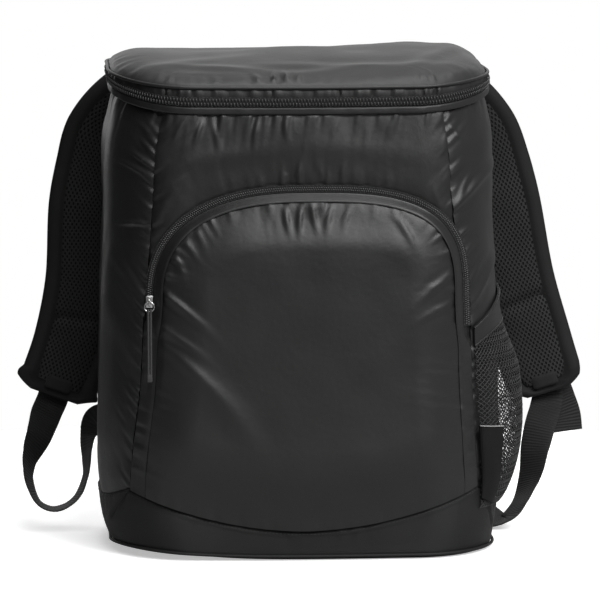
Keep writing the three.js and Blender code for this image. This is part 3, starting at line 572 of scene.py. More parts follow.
# %% Nylon of the body
NYLON_THREAD = 0.7 * MM
NYLON_WRINKLE = 5 * MM


def nylon(name, dark, light, rough):
    made = Finish(name, {"IOR": 1.5, "Specular IOR Level": 0.4})
    cloth = made.cloth_map()
    along, across, _ = made.parts(cloth)
    threads = weave(made, along, across, NYLON_THREAD)
    crumple = made.noise(cloth, NYLON_WRINKLE, 3.0)
    cloud = made.noise(made.place(), 45 * MM, 2.0)
    made.tone(cloud * 0.7 + threads * 0.3, dark, light)
    made.rough(rough + cloud * 0.08)
    made.bump(crumple * 0.9 + threads * 0.1, 0.5 * MM, 0.35)
    return made.material


body_nylon = nylon("black_nylon", 0.008, 0.013, 0.40)
lid_nylon = nylon("lid_nylon", 0.008, 0.013, 0.44)
print("nylon:", body_nylon.name, lid_nylon.name)

# %% Heavy cloth, tape, net, webbing and label
HEAVY_THREAD = 1.1 * MM
TAPE_RIB = 0.9 * MM
WEB_RIB = 2.2 * MM
WEB_THREAD = 0.8 * MM
LABEL_RIB = 0.6 * MM
HOLE_ACROSS = 3.3 * MM
HOLE_ALONG = 5.0 * MM
HOLE_DEPTH = 1.0 * MM


def heavy_cloth():
    made = Finish("heavy_cloth", {"IOR": 1.45, "Specular IOR Level": 0.3})
    cloth = made.cloth_map()
    along, across, _ = made.parts(cloth)
    threads = weave(made, along, across, HEAVY_THREAD)
    cloud = made.noise(made.place(), 30 * MM, 3.0)
    made.tone(cloud * 0.6 + threads * 0.4, 0.006, 0.012)
    made.rough(0.5 + cloud * 0.1)
    made.bump(threads, 0.25 * MM, 0.5)
    return made.material


def ribbed(name, rib, dark, light, rough):
    """A narrow woven band whose ribs run across it."""
    made = Finish(name, {"IOR": 1.45, "Specular IOR Level": 0.25})
    cloth = made.cloth_map()
    along, across, _ = made.parts(cloth)
    ribs = made.maths("SINE", along * (2 * math.pi / rib)) * 0.5 + 0.5
    threads = weave(made, along, across, WEB_THREAD)
    cloud = made.noise(cloth, 12 * MM)
    made.tone(cloud * 0.5 + ribs * 0.5, dark, light)
    made.rough(rough + cloud * 0.1)
    made.bump(ribs * 0.6 + threads * 0.4, 0.3 * MM, 0.6)
    return made.material


def holed(name, dark, light, across_pitch, along_pitch, depth):
    """Thick air mesh: holes on a slanting lattice in the cloth's own lengths, with painted shade in them.
    """
    made = Finish(name, {"IOR": 1.45, "Specular IOR Level": 0.2})
    cloth = made.cloth_map()
    along, across, _ = made.parts(cloth)
    one = made.maths("COSINE", (across * (1 / across_pitch) + along * (1 / along_pitch)) * (2 * math.pi))
    two = made.maths("COSINE", (across * (1 / across_pitch) - along * (1 / along_pitch)) * (2 * math.pi))
    yarn = made.node("ShaderNodeMapRange", {"interpolation_type": "SMOOTHSTEP"},
                     {"Value": one + two, "From Min": 0.1, "From Max": 1.3, "To Min": 1.0, "To Max": 0.0})
    cloud = made.noise(cloth, 18 * MM)
    # The dark tone in the holes is painted shade, where light would fall off inside them.
    made.tone(yarn * 0.8 + cloud * 0.2, dark, light)
    made.rough(0.95 - yarn * 0.3)
    made.bump(yarn, depth, 1.0)
    return made.material


def plain(name, dark, light, rough, grain, depth, constants=None):
    """A material with only a fine grain, for small pieces."""
    made = Finish(name, constants)
    place = made.place()
    speck = made.noise(place, grain, 3.0)
    made.tone(speck, dark, light)
    made.rough(rough + speck * 0.12)
    made.bump(speck, depth, 0.5)
    return made.material


base_cloth = heavy_cloth()
zip_tape = ribbed("zip_tape", TAPE_RIB, 0.008, 0.015, 0.6)
webbing_cloth = ribbed("webbing", WEB_RIB, 0.006, 0.014, 0.6)
label_ribbon = ribbed("label_ribbon", LABEL_RIB, 0.003, 0.005, 0.6)
MATT = {"IOR": 1.45, "Specular IOR Level": 0.2}
air_mesh = holed("air_mesh", 0.0015, 0.016, HOLE_ACROSS, HOLE_ALONG, HOLE_DEPTH)
pad_binding = plain("pad_binding", 0.006, 0.012, 0.65, 0.7 * MM, 0.2 * MM, MATT)
net_yarn = plain("net_yarn", 0.010, 0.020, 0.55, 0.6 * MM, 0.1 * MM)
zip_teeth = plain("zip_teeth", 0.035, 0.06, 0.35, 3 * MM, 0.05 * MM, {"IOR": 1.5})
# The pocket's teeth are a lighter copy of the dark coil finish: the extra lightness is a painted highlight.
pocket_teeth_and_highlight = plain("pocket_teeth_and_highlight", 0.06, 0.1, 0.3, 3 * MM, 0.05 * MM, {"IOR": 1.5})
thread = plain("sewing_thread", 0.018, 0.03, 0.5, 0.5 * MM, 0.05 * MM)
# A pale strand for the label's top fold: its light grey is a painted highlight of the fold.
painted_fold_highlight = plain("painted_fold_highlight", 0.22, 0.3, 0.6, 0.5 * MM, 0.05 * MM)
moulded = plain("moulded_plastic", 0.008, 0.012, 0.4, 0.4 * MM, 0.03 * MM)
nickel = plain("nickel", 0.45, 0.6, 0.2, 1.5 * MM, 0.02 * MM, {"Metallic": 1.0})
pull_cord = plain("pull_cord", 0.012, 0.035, 0.7, 0.7 * MM, 0.4 * MM)
print("materials:", len(bpy.data.materials))

# %% [markdown]
# ## Stitches and zip teeth
# A seam's thread and a zip's teeth are one small shape, repeated at an even pitch along a line. That is
# work for Geometry Nodes: the line is resampled, a bead is put on each point and turned to the line and
# to the cloth, and the result is made a plain mesh. Teeth take turns on the two sides of the line.

# %% Geometry Nodes helpers
class Graph:
    """A geometry node tree that is being made."""

    def __init__(self, name, inputs):
        self.tree = bpy.data.node_groups.new(name, "GeometryNodeTree")
        self.tree.interface.new_socket(name="Geometry", in_out="INPUT", socket_type="NodeSocketGeometry")
        self.tree.interface.new_socket(name="Geometry", in_out="OUTPUT", socket_type="NodeSocketGeometry")
        for label, kind in inputs.items():
            self.tree.interface.new_socket(name=label, in_out="INPUT", socket_type="NodeSocket" + kind)
        self.given = self.tree.nodes.new("NodeGroupInput").outputs

    def node(self, kind, settings=None, sockets=None, output=0):
        made = self.tree.nodes.new(kind)
        for name, value in (settings or {}).items():
            setattr(made, name, value)
        for name, value in (sockets or {}).items():
            if isinstance(value, bpy.types.NodeSocket):
                self.tree.links.new(value, made.inputs[name])
            else:
                made.inputs[name].default_value = value
        return made.outputs[output]

    def end(self, geometry, material):
        realized = self.node("GeometryNodeRealizeInstances", sockets={0: geometry})
        coated = self.node("GeometryNodeSetMaterial", sockets={"Geometry": realized, "Material": material})
        out = self.tree.nodes.new("NodeGroupOutput")
        self.tree.links.new(coated, out.inputs[0])
        return self.tree


def grow(name, source, tree, values):
    """Runs a tree on a source mesh and gives its result as a plain object."""
    modifier = source.modifiers.new(tree.name, "NODES")
    modifier.node_group = tree
    for socket in tree.interface.items_tree:
        if socket.in_out == "INPUT" and socket.name in values:
            modifier[socket.identifier] = values[socket.name]
    source.update_tag()
    bpy.context.view_layer.update()
    graph = bpy.context.evaluated_depsgraph_get()
    mesh = bpy.data.meshes.new_from_object(source.evaluated_get(graph), depsgraph=graph)
    mesh.name = name
    mesh.shade_smooth()
    bpy.data.objects.remove(source)
    return link(name, mesh)


def line_object(lines, outs):
    """A mesh of loose lines whose points know which way is out of the cloth."""
    mesh = bpy.data.meshes.new("guide")
    vertices = np.concatenate(lines)
    edges = []
    start = 0
    for line in lines:
        edges += [(start + i, start + i + 1) for i in range(len(line) - 1)]
        start += len(line)
    mesh.from_pydata(vertices, edges, [])
    attribute = mesh.attributes.new("out", "FLOAT_VECTOR", "POINT")
    attribute.data.foreach_set("vector", np.concatenate(outs).astype(np.float32).ravel())
    return link("guide", mesh)


# %% Tree for beads along a line
def bead_tree():
    graph = Graph("beads_along_a_line", {
        "Pitch": "Float", "Size": "Vector", "Offset": "Float", "Lift": "Float",
        "Take turns": "Float", "Slant": "Float", "Finish": "Material"})
    given = graph.given
    line = graph.node("GeometryNodeMeshToCurve", sockets={0: given["Geometry"]})
    spaced = graph.node("GeometryNodeResampleCurve", {"mode": "LENGTH"},
                        {"Curve": line, "Length": given["Pitch"]})
    index = graph.node("GeometryNodeInputIndex")
    odd = graph.node("ShaderNodeMath", {"operation": "MODULO"}, {0: index, 1: 2.0})
    turned = graph.node("ShaderNodeMath", {"operation": "MULTIPLY"}, {0: odd, 1: given["Take turns"]})
    side = graph.node("ShaderNodeMath", {"operation": "MULTIPLY_ADD"}, {0: turned, 1: -2.0, 2: 1.0})
    tangent = graph.node("GeometryNodeInputTangent")
    heading = graph.node("ShaderNodeVectorMath", {"operation": "SCALE"}, {0: tangent, "Scale": side})
    along = graph.node("FunctionNodeAlignRotationToVector", {"axis": "X"}, {"Vector": heading})
    out = graph.node("GeometryNodeInputNamedAttribute", {"data_type": "FLOAT_VECTOR"}, {"Name": "out"})
    upright = graph.node("FunctionNodeAlignRotationToVector", {"axis": "Z", "pivot_axis": "X"},
                         {"Rotation": along, "Vector": out})
    bead = graph.node("GeometryNodeMeshIcoSphere", sockets={"Radius": 0.5, "Subdivisions": 1})
    shift = graph.node("ShaderNodeCombineXYZ", sockets={1: given["Offset"], 2: given["Lift"]})
    slant = graph.node("ShaderNodeCombineXYZ", sockets={2: given["Slant"]})
    shaped = graph.node("GeometryNodeTransform", sockets={
        "Geometry": bead, "Translation": shift, "Rotation": slant, "Scale": given["Size"]})
    beads = graph.node("GeometryNodeInstanceOnPoints", sockets={
        "Points": spaced, "Instance": shaped, "Rotation": upright})
    return graph.end(beads, given["Finish"])


beads_tree = bead_tree()


def beads(name, lines, outs, pitch, size, material, offset=0.0, lift=0.0, turns=0.0, slant=0.0):
    values = {"Pitch": pitch, "Size": size, "Offset": offset, "Lift": lift, "Take turns": turns,
              "Slant": slant, "Finish": material}
    return grow(name, line_object(lines, outs), beads_tree, values)


print("tree inputs:", [s.name for s in beads_tree.interface.items_tree if s.in_out == "INPUT"])

# %% [markdown]
# ## Body panels
# The front, the two sides and the back are separate padded cloths that meet at upright seams. On the
# real bag the seams draw the cloth in, and short puckers stand off them. Each panel is a grid over the
# skin between two seams, with the fields of height added. The left side has slanting puckers, and the
# right side hangs in soft diagonal folds.

# %% Distance to the pocket's edge
POCKET_SHOULDER = 192 * MM
POCKET_TOP = 276.5 * MM
POCKET_TAPE = 5.6 * MM
SEAM_GAP = 0.3 * MM
ARCH_LEFT = 2.5
ARCH_RIGHT = 3


def pocket_edge(step=1.5 * MM):
    """The pocket's edge as seen from the front: up the left seam, over an arch, down the right."""
    def seam_x(side, height):
        return skin(side * FRONT_SEAM, height)[..., 0] - side * (POCKET_TAPE / 2 + SEAM_GAP)

    rising = np.linspace(BASE_SEAM_CORNER, POCKET_SHOULDER, 200)
    left = np.stack([seam_x(-1, rising), rising], axis=1)
    right = np.stack([seam_x(1, rising), rising], axis=1)[::-1]
    centre = (left[-1, 0] + right[0, 0]) / 2
    half = (right[0, 0] - left[-1, 0]) / 2
    angle = np.linspace(2 * QUARTER, 0, 1200)
    power = np.where(angle > QUARTER, ARCH_LEFT, ARCH_RIGHT)
    cosine = np.cos(angle)
    x = centre + half * np.sign(cosine) * np.abs(cosine) ** (2 / power)
    z = mix(POCKET_SHOULDER, POCKET_TOP, np.abs(np.sin(angle)) ** (2 / power))
    line = np.concatenate([left[:-1], np.stack([x, z], axis=1), right[1:]])
    length = run_length(line)
    even = np.linspace(0, length[-1], int(length[-1] / step))
    return np.stack([np.interp(even, length, line[:, i]) for i in (0, 1)], axis=1), even


edge_line, edge_length = pocket_edge()
edge_along = np.gradient(edge_line, axis=0)
edge_along /= np.linalg.norm(edge_along, axis=1)[:, None]
edge_inward = np.stack([edge_along[:, 1], -edge_along[:, 0]], axis=1)


def edge_distance(x, z):
    """Length along the pocket's edge and distance from it, positive inside, for points of the front."""
    shape = np.shape(x)
    points = np.stack([np.ravel(x), np.ravel(z)], axis=1)
    nearest = np.zeros(len(points), int)
    for start in range(0, len(points), 4000):
        part = points[start:start + 4000]
        gap = ((part[:, None] - edge_line[None, :, :]) ** 2).sum(axis=2)
        nearest[start:start + 4000] = gap.argmin(axis=1)
    offset = points - edge_line[nearest]
    inside = (offset * edge_inward[nearest]).sum(axis=1)
    return edge_length[nearest].reshape(shape), inside.reshape(shape)


print("pocket edge: %.0f mm long" % (edge_length[-1] / MM))

# %% Panel builder
PANEL_STEP = 1.35 * MM
BACK_STEP = 2.4 * MM
STRIP_DROP = 9.2 * MM
SEAM_DEEP = 1.1 * MM
SEAM_SOFT = 4 * MM
FOOT_DEEP = 1.1 * MM
FOOT_SOFT = 3 * MM
NECK_SOFT = 9 * MM
UNDER_STRIP = 1.2 * MM


def panel(name, low, high, heights, step, material, neck=1.5 * MM):
    """A padded panel between two upright seams; heights gives its added field."""
    columns, along = columns_between(low + 0.004, high - 0.004, step)
    rows = int(round((ZIP_HEIGHT - BASE_SEAM_SIDE) / step))
    share = np.linspace(0, 1, rows + 1)[:, None]
    foot = base_seam(columns) + SEAM_GAP / 2
    head = rim(columns, -SEAM_GAP)[:, 2]
    height = mix(foot, head, share)
    grid = skin(columns[None, :], height)
    below = head[None, :] - STRIP_DROP - height
    above = height - foot[None, :]
    field = heights(grid, along[None, :], height, below)
    for from_seam in (along[None, :], along[-1] - along[None, :]):
        field = field + dip(from_seam, SEAM_DEEP, SEAM_SOFT)
    field = field + dip(above, FOOT_DEEP, FOOT_SOFT) + dip(below, neck, NECK_SOFT)
    field = np.where(below < 0, -UNDER_STRIP, field)
    outer = skin(columns[None, :], height, field)
    inner = skin(columns[None, :], height, np.minimum(field - 1.5 * MM, -WALL))
    uv = flat_map(along[None, :], height)
    piece = wall(name + "_cloth", outer, inner, material, uv, coarse=5)
    return finish_piece(piece, [name])


# %% Front panel
FRONT_FOLDS = [
    (-98, 205, -25, 22, 5, 1.0),
    (-60, 300, 8, 40, 9, 0.6),
    (40, 305, -6, 55, 10, 0.5),
    (-36, 319, 80, 10, 2.6, 1.3),
    (-78, 318, 70, 9, 2.4, 1.1),
    (-66, 319, 100, 9, 2.4, 1.0),
    (-92, 320, 60, 8, 2.4, 0.9),
    (-14, 322, 95, 8, 2.6, 0.8),
    (22, 320, 75, 10, 3.0, 0.6),
    (64, 322, 80, 9, 3.0, 0.5),
    (-4, 289, 84, 9, 2.8, 1.0),
    (12, 288, 98, 8, 2.6, 0.9),
    (28, 289, 78, 8, 2.8, 0.8),
    (-104, 262, 60, 14, 4, 0.7),
    (100, 262, 110, 14, 4, 0.7),
]
ARCH_REACH = 18 * MM


def front_field(grid, along, height, below):
    x = grid[..., 0]
    length, inside = edge_distance(x, height)
    outside = -inside - POCKET_TAPE / 2
    strongest = 0.45 + 0.55 * np.exp(-((x + 65 * MM) / (45 * MM)) ** 2)
    field = 1.3 * MM * strongest * gathers(x, below, 8 * MM, 13 * MM, 11, 0.15)
    at_arch = np.exp(-((x - 12 * MM) / (40 * MM)) ** 2) + 0.25
    field += 1.0 * MM * at_arch * gathers(length, outside, 8 * MM, ARCH_REACH, 12) * (outside > -1 * MM)
    left = along
    right = along[:, -1:] - along
    field += 0.9 * MM * gathers(height, left, 10 * MM, 12 * MM, 13, -0.5)
    field += 0.8 * MM * gathers(height, right, 11 * MM, 12 * MM, 14, 0.5)
    field += folds(x, height, FRONT_FOLDS)
    field += 0.9 * MM * lumps(grid, 55 * MM, 15) + 0.35 * MM * lumps(grid, 20 * MM, 16)
    field += dip(outside, 1.2 * MM, 4 * MM)
    return np.where(inside > 8 * MM, -1.0 * MM, field)


panel("front_panel", -FRONT_SEAM, FRONT_SEAM, front_field, PANEL_STEP, body_nylon)

# %% Side panels
LEFT_FOLDS = [
    (-115, 318, -42, 8, 2.0, 1.0),
    (-114, 306, -45, 8, 2.0, 1.1),
    (-117, 296, -34, 13, 2.3, 1.7),
    (-121, 289, -26, 15, 2.5, 1.6),
    (-114, 282, -36, 9, 2.2, 1.1),
    (-121, 250, 2, 14, 2.4, 1.7),
    (-114, 262, -40, 8, 2.0, 0.9),
    (-115, 240, -36, 9, 2.1, 1.0),
    (-115, 231, -30, 8, 2.1, 0.9),
    (-130, 212, -52, 22, 5, 1.0),
    (-134, 170, -60, 40, 9, 0.9),
    (-140, 110, 82, 50, 12, 0.8),
]
RIGHT_FOLDS = [
    (126, 275, 42, 25, 4.6, 2.2),
    (119, 277, 62, 9, 2.2, 1.3),
    (119, 242, 42, 7, 2.0, 1.2),
    (137, 207, 60, 20, 4.6, 2.0),
    (128, 211, 60, 12, 3.0, 1.0),
    (122, 229, 45, 9, 2.6, 0.8),
    (113, 316, -55, 9, 2.2, 0.9),
    (134, 300, 70, 30, 9, 0.9),
]


def side_field(rows, seed, turned):
    def field(grid, along, height, below):
        x = grid[..., 0]
        seam = along if turned else along[:, -1:] - along
        far = along[:, -1:] - along if turned else along
        near = np.where(grid[..., 1] < 0, 1, 0)
        total = 0.8 * MM * gathers(height, seam, 8 * MM, 10 * MM, seed, -0.8)
        total += 0.7 * MM * gathers(height, far, 14 * MM, 12 * MM, seed + 2, 0.3)
        total += 0.6 * MM * gathers(along, below, 9 * MM, 12 * MM, seed + 4, 0.2)
        total += folds(x, height, rows) * near
        total += 1.1 * MM * lumps(grid, 50 * MM, seed + 6) + 0.4 * MM * lumps(grid, 18 * MM, seed + 7)
        return total
    return field


panel("side_panel_left", -BACK_SEAM, -FRONT_SEAM, side_field(LEFT_FOLDS, 21, False),
      PANEL_STEP, body_nylon, neck=5 * MM)
panel("side_panel_right", FRONT_SEAM, BACK_SEAM, side_field(RIGHT_FOLDS, 31, True),
      PANEL_STEP, body_nylon, neck=3 * MM)


# %% Back panel
def back_field(grid, along, height, below):
    return 0.8 * MM * lumps(grid, 60 * MM, 41) + 0.8 * MM * gathers(along, below, 12 * MM, 12 * MM, 42)


panel("back_panel", BACK_SEAM, 2 * BACK_CENTRE - BACK_SEAM, back_field, BACK_STEP,
      base_cloth)

# %% [markdown]
# ## Base
# The base is a boxy pan of heavier, duller cloth: a flat floor, a soft lower edge that is lifted and
# drawn in at the left front corner, and low walls up to the scooped seam. A corner seam slants down
# from each end of the scoop, and piping is sewn in along the lower edge. Rings from the middle of the
# floor, out and up, give the whole pan.

# %% Base pan
BASE_WALL = 4 * MM
BASE_FILLET = 5.5 * MM
CORNER_RISE = 8.5 * MM
RISE_PLACE = -1.6
RISE_SPREAD = 0.72
FLOOR_POWER = 5
TUCK = 6.5 * MM
TUCK_HEIGHT = 27 * MM
BASE_CREASES = [(-1, 2.00, 52, 2.42, 30), (1, 2.02, 50, 2.52, 20)]
COLUMN_LENGTH = np.linalg.norm(skin(2, BASE_SEAM_SIDE) - skin(3, BASE_SEAM_SIDE))
FILLET_SHARE = 0.6
PIPING_RADIUS = 1.2 * MM
CORD_GIRTH = 7 * MM
BASE_PIPING_TURN = 0.8
SKIN_GAP = 0.4 * MM


def lift_at(column):
    way = (place_of(column, 0.0) - RISE_PLACE) / RISE_SPREAD
    return CORNER_RISE * np.exp(-way * way)


def tuck_at(columns, height):
    """How far the left front corner is drawn in under the bag."""
    place = place_of(columns, 0.0)
    share = smooth((-place - 0.9) / 0.9) * smooth((place + 4.6) / 1.2)
    return TUCK * share * np.clip(1 - height / TUCK_HEIGHT, 0, 1) ** 1.3


def base_fillet(columns, turn, stand):
    """A point off the soft lower edge, from the floor at turn 0 to the upright wall at turn 1."""
    reach = BASE_FILLET + stand
    angle = turn * QUARTER
    height = BASE_FILLET - reach * math.cos(angle)
    rise = lift_at(columns) * (1 - turn * FILLET_SHARE)
    point = skin(columns, height, reach * math.sin(angle) - BASE_FILLET - tuck_at(columns, height + rise))
    point[..., 2] += rise
    return point


def corner_creases(columns, height):
    """Grooves of the two corner seams of the pan, which slant down from the ends of the scoop."""
    total = 0 * height
    for side, top, high, foot, low in BASE_CREASES:
        share = (high * MM - height) / ((high - low) * MM)
        away = (columns * side - mix(top, foot, share)) * COLUMN_LENGTH
        total = total - 1.5 * MM * np.exp(-(away / (1.7 * MM)) ** 2) * smooth((1.3 - share) * 3)
        total = total + 0.6 * MM * np.exp(-((away - 4 * MM) / (3 * MM)) ** 2) * smooth((1.3 - share) * 3)
    return total


def base_rings(columns, inset, field, floor_shares, turns, rises):
    edge = skin(columns, BASE_FILLET, -inset - BASE_FILLET - tuck_at(columns, lift_at(columns)))
    rings = []
    for share in floor_shares:
        floor_height = inset + lift_at(columns) * share ** FLOOR_POWER
        rings.append(np.stack([edge[:, 0] * share, edge[:, 1] * share, floor_height], axis=1))
    for turn in turns:
        rings.append(base_fillet(columns, turn, -inset))
    low = BASE_FILLET + lift_at(columns) * (1 - FILLET_SHARE)
    for rise in rises:
        height = mix(low, base_seam(columns) - SEAM_GAP / 2, rise)
        rings.append(skin(columns, height, -inset + field(height, rise) - tuck_at(columns, height)))
    return np.array(rings)


def base_field(height, rise):
    away = (base_seam(round_columns) - height)
    soft = 0.5 * MM * gathers(round_length, away, 12 * MM, 10 * MM, 51)
    grid = skin(round_columns, height)
    seam = dip(away, 1.1 * MM, 2 * MM) + 0.5 * MM * np.exp(-((away - 3.2 * MM) / (1.5 * MM)) ** 2)
    soft = soft + seam + 0.6 * MM * lumps(grid, 40 * MM, 52) + corner_creases(round_columns, height)
    return soft * smooth(np.array(rise * 4))


FLOOR_SHARES = np.array([0, 0.4, 0.62, 0.76, 0.86, 0.93, 0.98])
BASE_TURNS = np.linspace(0, 1, 8)
BASE_RISES = np.linspace(0.04, 1, 30)
BASE_PROFILE = 150 * MM
outer_rings = base_rings(round_columns, 0.0, base_field, FLOOR_SHARES, BASE_TURNS, BASE_RISES)
inner_rings = base_rings(round_columns, BASE_WALL, base_field, FLOOR_SHARES, BASE_TURNS, BASE_RISES)
base_uv = flat_map(round_length[None, :], np.linspace(0, BASE_PROFILE, len(outer_rings))[:, None])
base_piece = wall("base_cloth", outer_rings, inner_rings, base_cloth, base_uv, wrapped=True,
                  lids=(False, True), coarse=3)
finish_piece(base_piece, ["base"])


# %% Piping
def piping(name, point_at, material, radius=PIPING_RADIUS, sides=10):
    stand = radius + SKIN_GAP
    centre = point_at(round_columns, stand)
    out = (centre - point_at(round_columns, 0.0)) * np.array([1, 1, 0])
    out /= np.linalg.norm(out, axis=1)[:, None]
    rings = []
    for side in range(sides):
        angle = side / sides * 4 * QUARTER
        rings.append(centre + out * radius * math.cos(angle) + np.array([0, 0, radius * math.sin(angle)]))
    rings = np.stack(rings, axis=1)
    around = np.linspace(0, CORD_GIRTH, sides + 1)[None, :]
    piece = tube(name + "_cord", rings, material, caps=False, uv=flat_map(round_length[:, None], around))
    return finish_piece(piece, [name])


def at_base(columns, stand):
    return base_fillet(columns, BASE_PIPING_TURN, stand)


def at_lid(columns, stand):
    return lid_edge(columns, 0.0, stand)


piping("base_piping", at_base, base_cloth)
piping("lid_piping", at_lid, lid_nylon)

# %% [markdown]
# ## Lid
# The lid is a padded panel with a soft round edge, over a gathered band and a coil zip that runs round
# the mouth. The zip line drops towards the front, so the rim looks like a saddle. The top is rings of
# one outline, with the field of height pulled down at the piping and gathered at the front middle.

# %% Lid top
LID_THICKNESS = 7.5 * MM
LID_CROWN = 2.2 * MM
LID_ROUND = 23 * MM
LID_SWELLS = [
    (88, 30, 42, 55, 4.8),
    (122, 25, 16, 50, 3.0),
    (-118, 15, 24, 50, 3.0),
    (-20, -60, 60, 16, -0.8),
]
LID_FOLDS = [
    (-22, -74, 86, 8, 2.4, 2.0),
    (-13, -73, 102, 9, 2.4, 1.8),
    (-4, -75, 80, 8, 2.4, 1.2),
    (-34, -75, 110, 9, 3.0, 1.0),
    (-96, -44, 32, 50, 12, 1.2),
    (-60, -52, -10, 40, 8, 1.1),
    (52, -56, 8, 60, 10, 1.2),
    (14, -50, -6, 50, 9, 0.9),
    (98, -30, 58, 42, 10, 1.2),
    (-10, 10, 4, 80, 16, 0.8),
]
LID_INSETS = np.array([0, 0.12, 0.4, 0.9, 1.6, 2.4, 3.4, 4.6, 6.0, 7.6, 9.4, 11.6, 14.3]) * MM
LID_SHARES = 1 - np.linspace(0, 1, 46)[1:] ** 1.1


def swell(points):
    """Broad rises and falls of the stuffed lid: each row has its place, reach both ways and height."""
    total = 0
    for x, y, wide, deep, height in LID_SWELLS:
        share = ((points[..., 0] / MM - x) / wide) ** 2 + ((points[..., 1] / MM - y) / deep) ** 2
        total = total + height * MM * np.exp(-share)
    return total


def lid_field(points, length, away):
    total = folds(points[..., 0], points[..., 1], LID_FOLDS)
    total += 1.2 * MM * lumps(points, 60 * MM, 61) + 0.4 * MM * lumps(points, 22 * MM, 62)
    total += 0.6 * MM * gathers(length, away, 11 * MM, 9 * MM, 63)
    return total * smooth(away / (7 * MM)) + swell(points) * smooth(away / (4 * MM))


def lid_rings(under):
    """Rings from the sewn edge in to the middle; the top side rises in one soft curve."""
    rings = []
    edge = lid_edge(round_columns, 0.0, -LID_INSETS[-1])
    reach = np.linalg.norm(edge[:, :2], axis=1)
    spots = [(lid_edge(round_columns, 0.0, -inset), inset + 0 * reach, 1.0) for inset in LID_INSETS]
    for share in LID_SHARES:
        spots.append((edge * np.array([share, share, 1]), LID_INSETS[-1] + (1 - share) * reach, share))
    for spot, away, share in spots:
        x, y = spot[:, 0], spot[:, 1]
        rise = LID_CROWN * (1 - share * share)
        if not under:
            slope = 1 - np.clip(away / LID_ROUND, 0, 1)
            rise = rise + LID_THICKNESS * (1 - slope ** 2.1) ** 0.7
        point = np.stack([x, y, lid_level(x, y) + rise], axis=1)
        if not under:
            point[:, 2] += lid_field(point, round_length, away)
        rings.append(point)
    return np.array(rings)


top = lid_rings(False)
lid_piece = wall("lid_top_cloth", top, lid_rings(True), lid_nylon, top[..., :2], wrapped=True,
                 lids=(True, False), coarse=3)
finish_piece(lid_piece, ["lid_top"])

# %% Bands round the mouth
ZIP_END = 6.1
ZIP_TAPE_WIDTH = 7 * MM
TAPE_THICKNESS = 0.9 * MM
COIL_THICKNESS = 1.6 * MM
STRIP_HEIGHT = 5.4 * MM
STRIP_THICKNESS = 1.2 * MM
HINGE_DROP = 12 * MM
CLOTH = 1.5 * MM
zip_columns, zip_length = columns_between(-ZIP_END, ZIP_END, 2 * MM)


def rim_band(name, columns, length, low, high, stand, thickness, rows, material, nodes,
             field=None):
    share = np.linspace(0, 1, rows)[:, None]
    above = mix(low, high, share)
    roll = thickness * 0.7 * (np.abs(share * 2 - 1)) ** 6
    extra = 0 if field is None else field(length[None, :], above)
    outer = rim(columns[None, :], above, stand + thickness - roll + extra)
    inner = rim(columns[None, :], above, stand + 0 * above)
    uv = flat_map(length[None, :], above)
    piece = wall(name, outer, inner, material, uv)
    return finish_piece(piece, nodes)


rim_band("lid_zip_tape_cloth", zip_columns, zip_length, -ZIP_TAPE_WIDTH / 2, ZIP_TAPE_WIDTH / 2, SKIN_GAP,
         TAPE_THICKNESS, 9, zip_tape, ["lid_zip_tape"])
strip_top = -ZIP_TAPE_WIDTH / 2 - SEAM_GAP
rim_band("storm_strip_cloth", zip_columns, zip_length, strip_top - STRIP_HEIGHT, strip_top, SKIN_GAP,
         STRIP_THICKNESS, 9, body_nylon, ["storm_strip"],
         lambda along, above: 0.3 * MM * flat_lumps(along, above, 9 * MM, 71))
hinge_columns, hinge_length = columns_between(ZIP_END + 0.01, 2 * BACK_CENTRE - ZIP_END - 0.01, 2 * MM)
hinge_top = BAND_SIDE - PIPING_RADIUS - 2 * SEAM_GAP
rim_band("lid_hinge_cloth", hinge_columns, hinge_length, -HINGE_DROP, hinge_top,
         SKIN_GAP, CLOTH, 11, base_cloth, ["lid_hinge"])

# %% Gathered band of the lid
BAND_WALL = 3 * MM
BAND_SOFT = 0.8 * MM
band_rows = 9
band_share = np.linspace(0, 1, band_rows)[:, None]
band_low = rim(round_columns, SEAM_GAP)[:, 2]
band_high = lid_edge(round_columns, -SEAM_GAP)[:, 2]
band_height = mix(band_low, band_high, band_share)
band_puff = np.sin(band_share * math.pi) * BAND_SOFT
band_gathers = gathers(round_length[None, :], band_height * 0, 6 * MM, 9 * MM, 72)
band_field = band_puff + BAND_SOFT * band_gathers * np.sin(band_share * math.pi * 0.8)
band = wall("lid_band_cloth", skin(round_columns[None, :], band_height, band_field),
            skin(round_columns[None, :], band_height, -BAND_WALL + 0 * band_height), lid_nylon,
            flat_map(round_length[None, :], band_height), wrapped=True)
finish_piece(band, ["lid_band"])


# %% Main zip's teeth
def outward(points_near, points_far):
    away = points_far - points_near
    return away / np.linalg.norm(away, axis=-1)[..., None]


COIL_STAND = 2 * SKIN_GAP + TAPE_THICKNESS
zip_line = rim(zip_columns, 0.0, COIL_STAND)
zip_out = outward(zip_line, rim(zip_columns, 0.0, COIL_STAND + MM))
coil = beads("lid_zip_coil_teeth", [zip_line], [zip_out], 1.2 * MM, (0.75 * MM, 2.8 * MM, 1.1 * MM),
             zip_teeth, offset=1.45 * MM, lift=0.5 * MM, turns=1.0, slant=0.1)
finish_piece(coil, ["lid_zip_coil"])

# %% Stitches
STITCH_PITCH = 2.8 * MM
STITCH_SIZE = (2.0 * MM, 0.5 * MM, 0.4 * MM)


def stitches(name, point_at, nodes):
    """A row of stitches along a line, which is given for any distance off the cloth."""
    line = point_at(0.0)
    made = beads(name, [line], [outward(line, point_at(MM))], STITCH_PITCH, STITCH_SIZE, thread)
    return finish_piece(made, nodes)


def on_tape(above):
    return lambda stand: rim(zip_columns, above, SKIN_GAP + TAPE_THICKNESS + stand)


